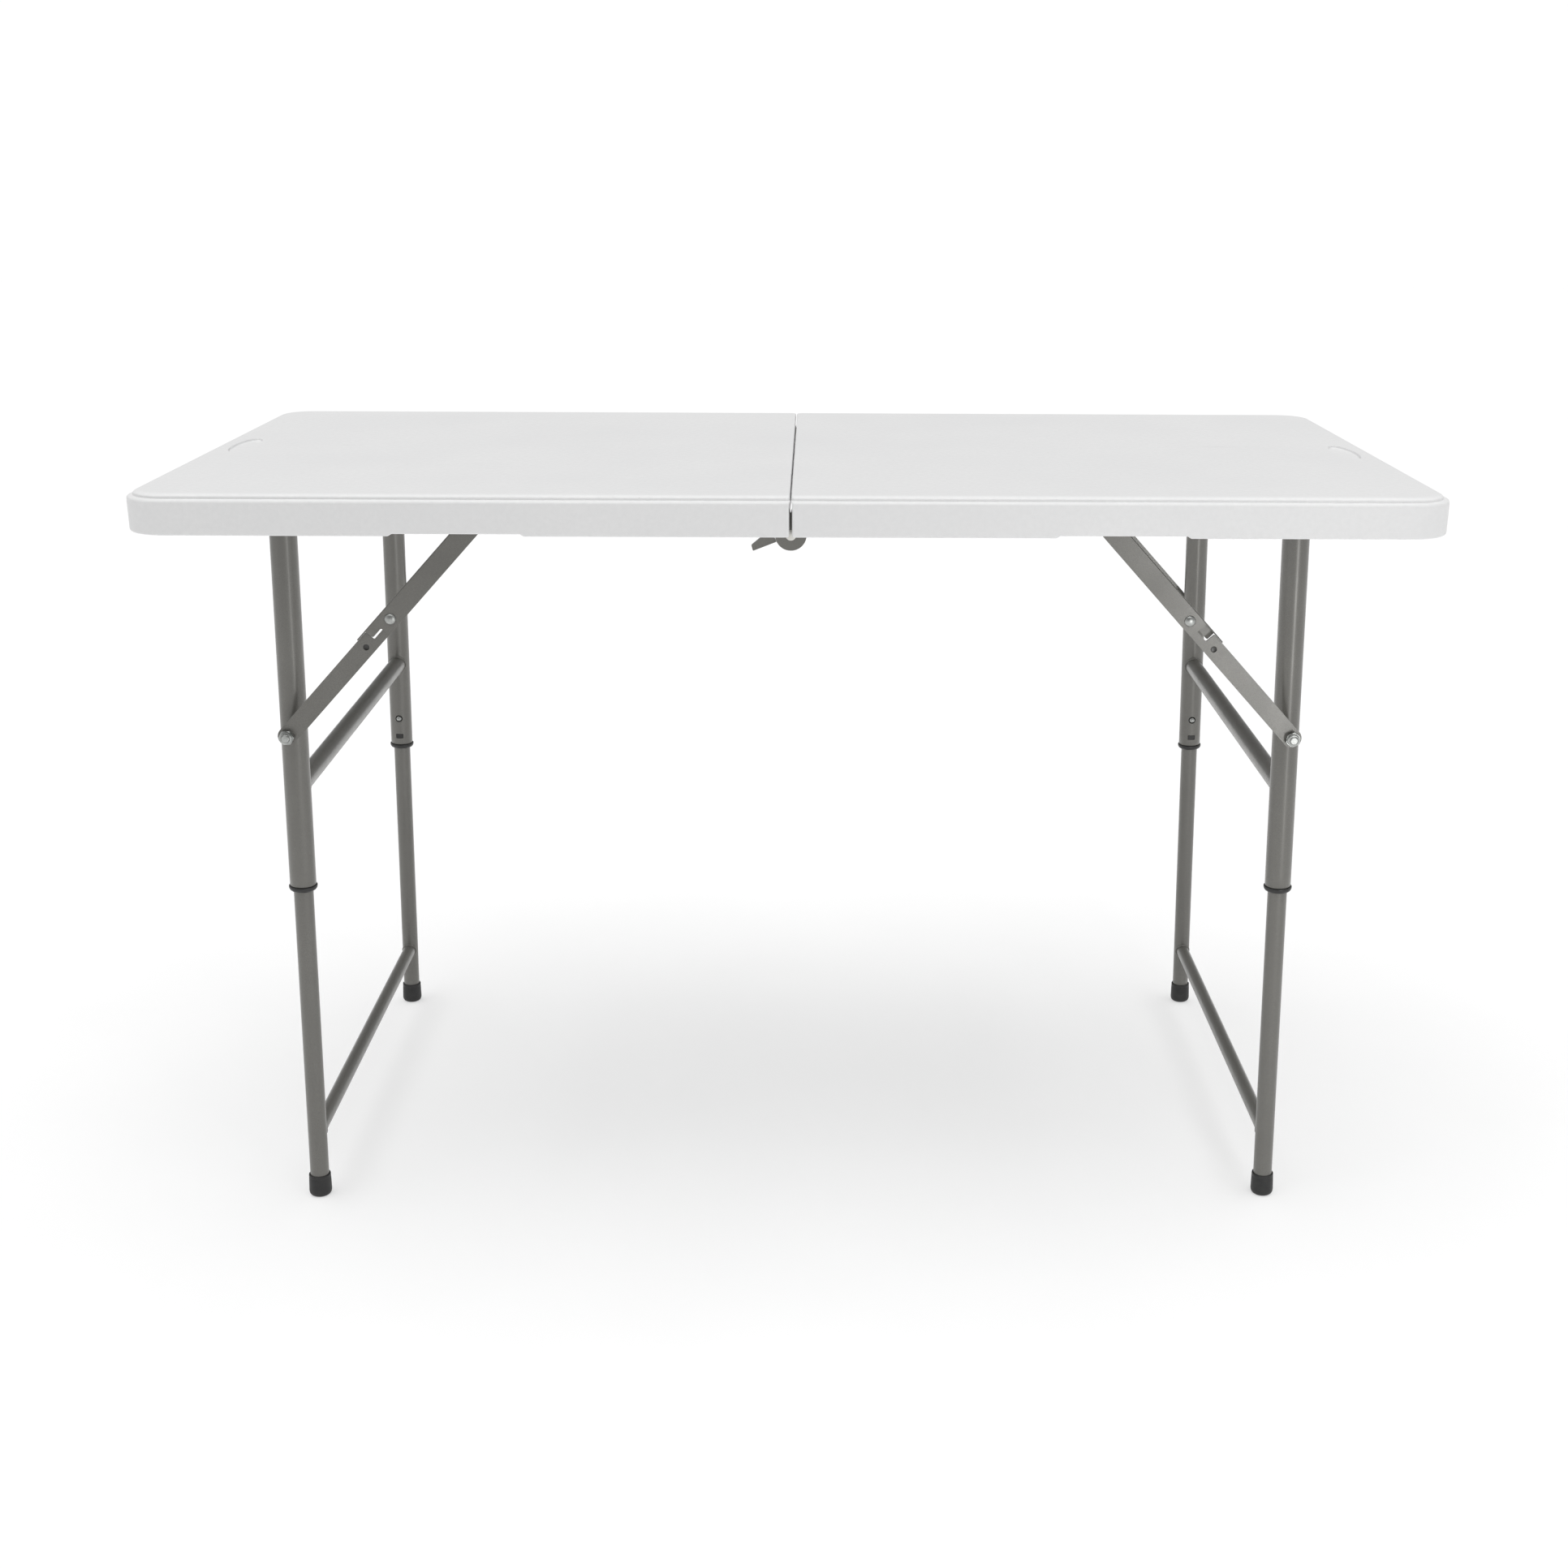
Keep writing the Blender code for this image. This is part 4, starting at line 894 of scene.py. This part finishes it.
# ----------------------------------------------------------------------- braces
def brace(side, word, f, fw):
    tag = '%s_%s' % (fw, word)
    m = Matrix.Translation((side * EX, 0, EZ)) @ Matrix.Rotation(SLOPE if side > 0 else -SLOPE, 4, 'Y')
    tongue_outer = (f == side)

    def ol(pts):
        return pts if side < 0 else [(-a, b) for a, b in reversed(pts)]

    def yy(v):
        """Layer height above the brace's middle, outwards."""
        return f * (BRACE_MID + v)

    # channel section, rolled edges and bends
    sec = [(-CH_HALF, CH_LOW + 0.00025), (-CH_HALF, CH_TOP - 0.0012)]
    sec += [(-CH_HALF + 0.0012 - 0.0012 * math.cos(math.radians(a)), CH_TOP - 0.0012 + 0.0012 * math.sin(math.radians(a)))
            for a in (18, 36, 54, 72, 90)]
    sec += [(CH_HALF - 0.0012 + 0.0012 * math.sin(math.radians(a)), CH_TOP - 0.0012 + 0.0012 * math.cos(math.radians(a)))
            for a in (0, 18, 36, 54, 72, 90)]
    sec += [(CH_HALF, CH_LOW + 0.00025), (CH_HALF - 0.00025, CH_LOW), (CH_GAP + 0.00025, CH_LOW),
            (CH_GAP, CH_LOW + 0.00025), (CH_GAP, CH_WEB - 0.0004), (CH_GAP - 0.0004, CH_WEB),
            (-CH_GAP + 0.0004, CH_WEB), (-CH_GAP, CH_WEB - 0.0004), (-CH_GAP, CH_LOW + 0.00025),
            (-CH_GAP - 0.00025, CH_LOW), (-CH_HALF + 0.00025, CH_LOW)]
    xs = [-STOP, -0.030, -TONGUE - 0.001] + [-TONGUE + 0.0008 * k for k in range(7)] + [-0.016, -CH_END]
    xs += [-CH_END + (LINK_C + 0.012 + CH_END) * k / 16 for k in range(1, 17)]
    sgn = 1 if side < 0 else -1
    rings = [[(sgn * x, yy(a), b) for a, b in sec] for x in xs]
    up = loft('upper_link_%s_visual' % tag, rings)
    # ends and lock opening
    t0, t1 = (0.0, 0.010) if tongue_outer else (-0.010, 0.0)
    n0, n1 = (-0.010, 0.0) if tongue_outer else (0.0, 0.010)
    zc = CH_WEB - 0.0002
    tongue_cut = [(-0.05, -0.02), (-CH_END, -0.02), (-CH_END, -0.0006), (-CH_END - 0.0002, 0.0000),
                  (-CH_END - 0.0006, 0.0004), (-CH_END - 0.0012, 0.0006), (-TONGUE + 0.0016, 0.0006),
                  (-TONGUE + 0.0008, 0.0008), (-TONGUE + 0.0002, 0.0014), (-TONGUE, 0.0022), (-TONGUE, zc), (-0.05, zc)]
    plain_cut = [(-0.05, -0.02), (-CH_END + 0.0016, -0.02), (-CH_END + 0.0016, CH_LOW - 0.0003),
                 (-CH_END + 0.0005, CH_LOW + 0.0004), (-CH_END, CH_LOW + 0.0016), (-CH_END, zc), (-0.05, zc)]
    corner = [(-CH_END - 0.01, CH_LOW - 0.01), (-CH_END + 0.0016, CH_LOW - 0.01), (-CH_END + 0.0016, CH_LOW - 0.0001),
              (-CH_END + 0.0005, CH_LOW + 0.0005), (-CH_END + 0.0001, CH_LOW + 0.0016), (-CH_END - 0.01, CH_LOW + 0.0017)]
    rnd = arc(LINK_C, 0, 0.0093, -90, 38, 16)
    end_cut = ([(LINK_C - 0.0001, -0.03), (LINK_C, -0.0094)] + rnd[1:] + [(LINK_C + 0.0062, CH_TOP - 0.002),
               (LINK_C + 0.0040, CH_TOP + 0.0002), (LINK_C + 0.004, 0.02), (LINK_C + 0.03, 0.02), (LINK_C + 0.03, -0.03)])
    tools = [plate('t', ol(tongue_cut), *sorted((yy(t0), yy(t1)))),
             plate('n', ol(plain_cut), *sorted((yy(n0), yy(n1)))),
             plate('c', ol(corner), *sorted((yy(t0), yy(t1)))),
             plate('e', ol(end_cut), *sorted((yy(-0.01), yy(0.01)))),
             rod_y('r', 0.0032, yy(-0.01), yy(0.01), 0, 0, 28),
             rod_y('p', 0.0032, yy(-0.01), yy(0.01), sgn * LINK_C, 0, 28)]
    boolean(up, tools)
    # the tongue's tip is bent into the notch of the lower link
    for v in up.data.vertices:
        x = v.co.x * sgn
        off = f * v.co.y - BRACE_MID
        inside = (off > 0) if tongue_outer else (off < 0)
        if inside and x < -TONGUE + 0.0040 and x > -TONGUE - 0.0005 and v.co.z < CH_WEB - 0.0006:
            k = smooth01((-TONGUE + 0.0040 - x) / 0.0040) * smooth01((CH_WEB - 0.0006 - v.co.z) / 0.003)
            v.co.y -= f * math.copysign(0.0015 * k, off)
    up.data.transform(m)
    piece(up, 'upper_brace_' + tag, M_STEEL, ['upper_link_' + tag], angle=30, weighted=True)

    # lower link: strap with lock notch and hole
    h = BRACE_HALF
    pts = arc(0, 0, h, -90, 90, 20)
    pts += fillet([(-0.0060, h), (-0.0118, h), (-0.0120, -0.0012), (-0.0259, -0.0012), (-0.0261, h), (-0.0330, h)],
                  [0, 0.0012, 0.0010, 0.0010, 0.0014, 0], 4)
    pts += arc(-LINK_B, 0, h, 90, 270, 24)
    p0, p1 = yspan(f, PLATE_IN, PLATE_OUT)
    bx = -sgn * LINK_B
    low = plate('lower_link_%s_visual' % tag, ol(pts), p0, p1,
                [circle(0, 0, 0.0033, 28), circle(-sgn * 0.0368, -0.0006, 0.0030, 28), circle(bx, 0, 0.0040, 28)])
    bevel(low, 0.00022, 2, 60)
    s0, s1 = yspan(f, COLLAR_END + 0.0004, PLATE_IN + 0.0004)
    boss = lathe('boss', [(0.0040, COLLAR_END + 0.0004), (0.0064, COLLAR_END + 0.0004), (0.0068, COLLAR_END + 0.0008),
                          (0.0068, PLATE_IN + 0.0004), (0.0040, PLATE_IN + 0.0004)], 40,
                 Matrix.Translation((bx, 0, 0)) @ outward(f))
    boolean(low, [boss], 'UNION')
    low.data.transform(m)
    piece(low, 'lower_brace_' + tag, M_STEEL, ['lower_link_' + tag], angle=30, weighted=True)
    # the hole is closed at the back by a thin dished web in the darkened powder coat: painted shade standing for the
    # dark gap behind the hole
    dish = lathe('brace_hole_painted_shade_%s' % tag, [(0, PLATE_IN + 0.0001), (0.0031, PLATE_IN + 0.0001), (0.0031, PLATE_IN + 0.0006),
                                           (0.0024, PLATE_IN + 0.0004), (0, PLATE_IN + 0.0003)], 28,
                 m @ Matrix.Translation((-sgn * 0.0368, 0, -0.0006)) @ outward(f))
    piece(dish, 'lower_brace_' + tag, M_SHADE)

    # elbow rivet: domed head, upset tail
    prof = [(0.0, 0.28010), (0.0012, 0.28004), (0.0024, 0.27982), (0.0036, 0.27940), (0.0045, 0.27885),
            (0.0051, 0.27820), (0.0053, 0.27772), (0.0051, 0.27742), (0.0031, 0.27742), (0.0031, 0.2717),
            (0.0048, 0.2717), (0.0050, 0.2714), (0.0044, 0.2706), (0.0028, 0.2700), (0.0, 0.2698)]
    piece(lathe('elbow_rivet_%s_visual' % tag, prof, 40, m @ outward(f)),
          'upper_brace_' + tag, M_ZINC, ['elbow_rivet_' + tag])

    # lock nut: chamfered hexagon, crimped collar, and the thread that shows past it
    at = m @ Matrix.Translation((bx, 0, 0)) @ outward(f)
    rc = 0.0130 / 2 / math.cos(math.radians(30))
    hexa = lathe('lock_nut_%s_visual' % tag, [(0, 0.27570), (rc, 0.27570), (rc, 0.28150), (0, 0.28150)], 6, phase=0.22)
    cone = lathe('cone', [(0, 0.27565), (rc * 0.90, 0.27565), (rc * 1.01, 0.2763), (rc * 1.01, 0.2807),
                          (rc * 0.88, 0.28155), (0, 0.28155)], 48)
    boolean(hexa, [cone], 'INTERSECT')
    collar = lathe('collar', [(0.0040, 0.2812), (0.0060, 0.2812), (0.0060, 0.28300), (0.0057, 0.28350),
                              (0.0050, 0.28385), (0.0043, 0.2839), (0.0040, 0.2836)], 48)
    thread = [(0.0, 0.2736), (0.0038, 0.2736)]
    zt = 0.2760
    while zt < 0.2846:
        thread += [(0.0040, zt + 0.0003), (0.0040, zt + 0.0005), (0.0036, zt + 0.0010), (0.0036, zt + 0.00115)]
        zt += 0.00125
    thread += [(0.0036, 0.28500), (0.0030, 0.2854), (0.0, 0.2854)]
    thread = [(r, min(h_, 0.2854)) for r, h_ in thread]
    stud = lathe('stud', thread, 40)
    nut = join('lock_nut_%s_visual' % tag, [hexa, collar, stud])
    nut.data.transform(at)
    piece(nut, 'lower_brace_' + tag, M_ZINC, ['lock_nut_' + tag], angle=30)

    # pin on the rail
    prof = [(0.0, 0.2890), (0.0036, 0.28895), (0.0048, 0.2886), (0.0050, 0.2880), (0.0030, 0.2880),
            (0.0030, 0.2761), (0.0, 0.2761)]
    pin = lathe('brace_pin_%s_visual' % tag, prof, 36, m @ Matrix.Translation((sgn * LINK_C, 0, 0)) @ outward(f))
    piece(pin, word + '_half', M_ZINC, ['brace_pin_' + tag])


for s, w in SIDES:
    for f, fw in FACES:
        brace(s, w, f, fw)


# ------------------------------------------------------------------------ studio
def floor():
    bm = bmesh.new()
    bmesh.ops.create_grid(bm, x_segments=8, y_segments=8, size=14)
    me = bpy.data.meshes.new('studio_floor')
    bm.to_mesh(me)
    bm.free()
    ob = link('studio_floor', me)
    m, nt, b = new_material('pale_floor')
    co = coords(nt)
    t = noise_node(nt, co, 3.0, 3.0, 0.5)
    nt.links.new(ramp(nt, t, [(0.3, (0.46, 0.46, 0.46)), (0.7, (0.48, 0.48, 0.48))]), b.inputs['Base Color'])
    b.inputs['Roughness'].default_value = 0.9
    b.inputs['Specular IOR Level'].default_value = 0.1
    b.inputs['Emission Color'].default_value = (1.0, 1.0, 1.0, 1.0)
    b.inputs['Emission Strength'].default_value = 0.50
    # seen from below, the floor is clear, so that the underside can be looked at
    side_on = nt.nodes.new('ShaderNodeNewGeometry')
    clear = nt.nodes.new('ShaderNodeBsdfTransparent')
    pick = nt.nodes.new('ShaderNodeMixShader')
    nt.links.new(side_on.outputs['Backfacing'], pick.inputs['Fac'])
    nt.links.new(b.outputs[0], pick.inputs[1])
    nt.links.new(clear.outputs[0], pick.inputs[2])
    nt.links.new(pick.outputs[0], nt.nodes['Material Output'].inputs['Surface'])
    me.materials.append(m)
    return ob


floor()


def area(name, at, target, size, power, colour=(1, 1, 1), size_y=None, spread=180):
    d = bpy.data.lights.new(name, 'AREA')
    d.energy = power
    d.color = colour
    d.size = size
    if size_y:
        d.shape = 'RECTANGLE'
        d.size_y = size_y
    ob = bpy.data.objects.new(name, d)
    bpy.context.scene.collection.objects.link(ob)
    ob.location = at
    ob.rotation_euler = (Vector(target) - Vector(at)).to_track_quat('-Z', 'Y').to_euler()
    ob.visible_camera = False
    d.spread = math.radians(spread)
    return ob


def sun(name, direction, strength, angle):
    d = bpy.data.lights.new(name, 'SUN')
    d.energy = strength
    d.angle = math.radians(angle)
    ob = bpy.data.objects.new(name, d)
    bpy.context.scene.collection.objects.link(ob)
    ob.location = (0, 0, 3)
    ob.rotation_euler = Vector(direction).to_track_quat('-Z', 'Y').to_euler()
    return ob


area('key_right', (0.86, -1.84, 0.44), (0.45, -0.2, 0.44), 0.20, 2.0, size_y=0.86, spread=110)
area('fill_left', (-2.6, -1.6, 0.9), (-0.4, 0, 0.5), 1.2, 1.0, size_y=1.4)
sun('overhead', (0.02, 0.05, -1), 2.50, 70)

world = bpy.context.scene.world or bpy.data.worlds.new('studio')
bpy.context.scene.world = world
world.use_nodes = True
wt = world.node_tree
bg = wt.nodes.get('Background') or wt.nodes.new('ShaderNodeBackground')
bg.inputs['Color'].default_value = (1.0, 1.0, 1.0, 1.0)
# the room is brighter at the sides than in front and behind
where = wt.nodes.new('ShaderNodeTexCoord')
xyz = wt.nodes.new('ShaderNodeSeparateXYZ')
wt.links.new(where.outputs['Generated'], xyz.inputs[0])
aside = wt.nodes.new('ShaderNodeMath')
aside.operation = 'ABSOLUTE'
wt.links.new(xyz.outputs['X'], aside.inputs[0])
room = wt.nodes.new('ShaderNodeMapRange')
for k, v in (('From Min', 0.05), ('From Max', 0.95), ('To Min', 0.10), ('To Max', 0.66)):
    room.inputs[k].default_value = v
wt.links.new(aside.outputs[0], room.inputs['Value'])
wt.links.new(room.outputs['Result'], bg.inputs['Strength'])
# a white backdrop behind the object, whatever the room's light is
drop = wt.nodes.new('ShaderNodeBackground')
drop.inputs['Color'].default_value = (1.0, 1.0, 1.0, 1.0)
drop.inputs['Strength'].default_value = 1.02
path = wt.nodes.new('ShaderNodeLightPath')
mixer = wt.nodes.new('ShaderNodeMixShader')
wt.links.new(path.outputs['Is Camera Ray'], mixer.inputs['Fac'])
wt.links.new(bg.outputs[0], mixer.inputs[1])
wt.links.new(drop.outputs[0], mixer.inputs[2])
wt.links.new(mixer.outputs[0], wt.nodes['World Output'].inputs['Surface'])

vs = bpy.context.scene.view_settings
vs.view_transform = 'Standard'
vs.look = 'None'
vs.exposure = 0.0
vs.gamma = 1.0

# camera fitted to the object's corners
PITCH, YAW, ROLL, FOCAL = 0.30746, -0.01429, -0.00592, 2479.07
right = Vector((math.cos(YAW), math.sin(YAW), 0))
ahead = Vector((-math.sin(YAW), math.cos(YAW), 0))
look = ahead * math.cos(PITCH) - Vector((0, 0, 1)) * math.sin(PITCH)
upv = Vector((0, 0, 1)) * math.cos(PITCH) + ahead * math.sin(PITCH)
r2 = right * math.cos(ROLL) - upv * math.sin(ROLL)
u2 = right * math.sin(ROLL) + upv * math.cos(ROLL)
cam_data = bpy.data.cameras.new('camera')
cam_data.sensor_width = 36.0
cam_data.lens = FOCAL / 1932 * 36.0
cam_data.shift_x = -0.0374
cam_data.clip_end = 60
cam = bpy.data.objects.new('camera', cam_data)
bpy.context.scene.collection.objects.link(cam)
mat = Matrix((r2, u2, -look)).transposed().to_4x4()
mat.translation = Vector((0.0228, -2.1193, 1.0408))
cam.matrix_world = mat
bpy.context.scene.camera = cam
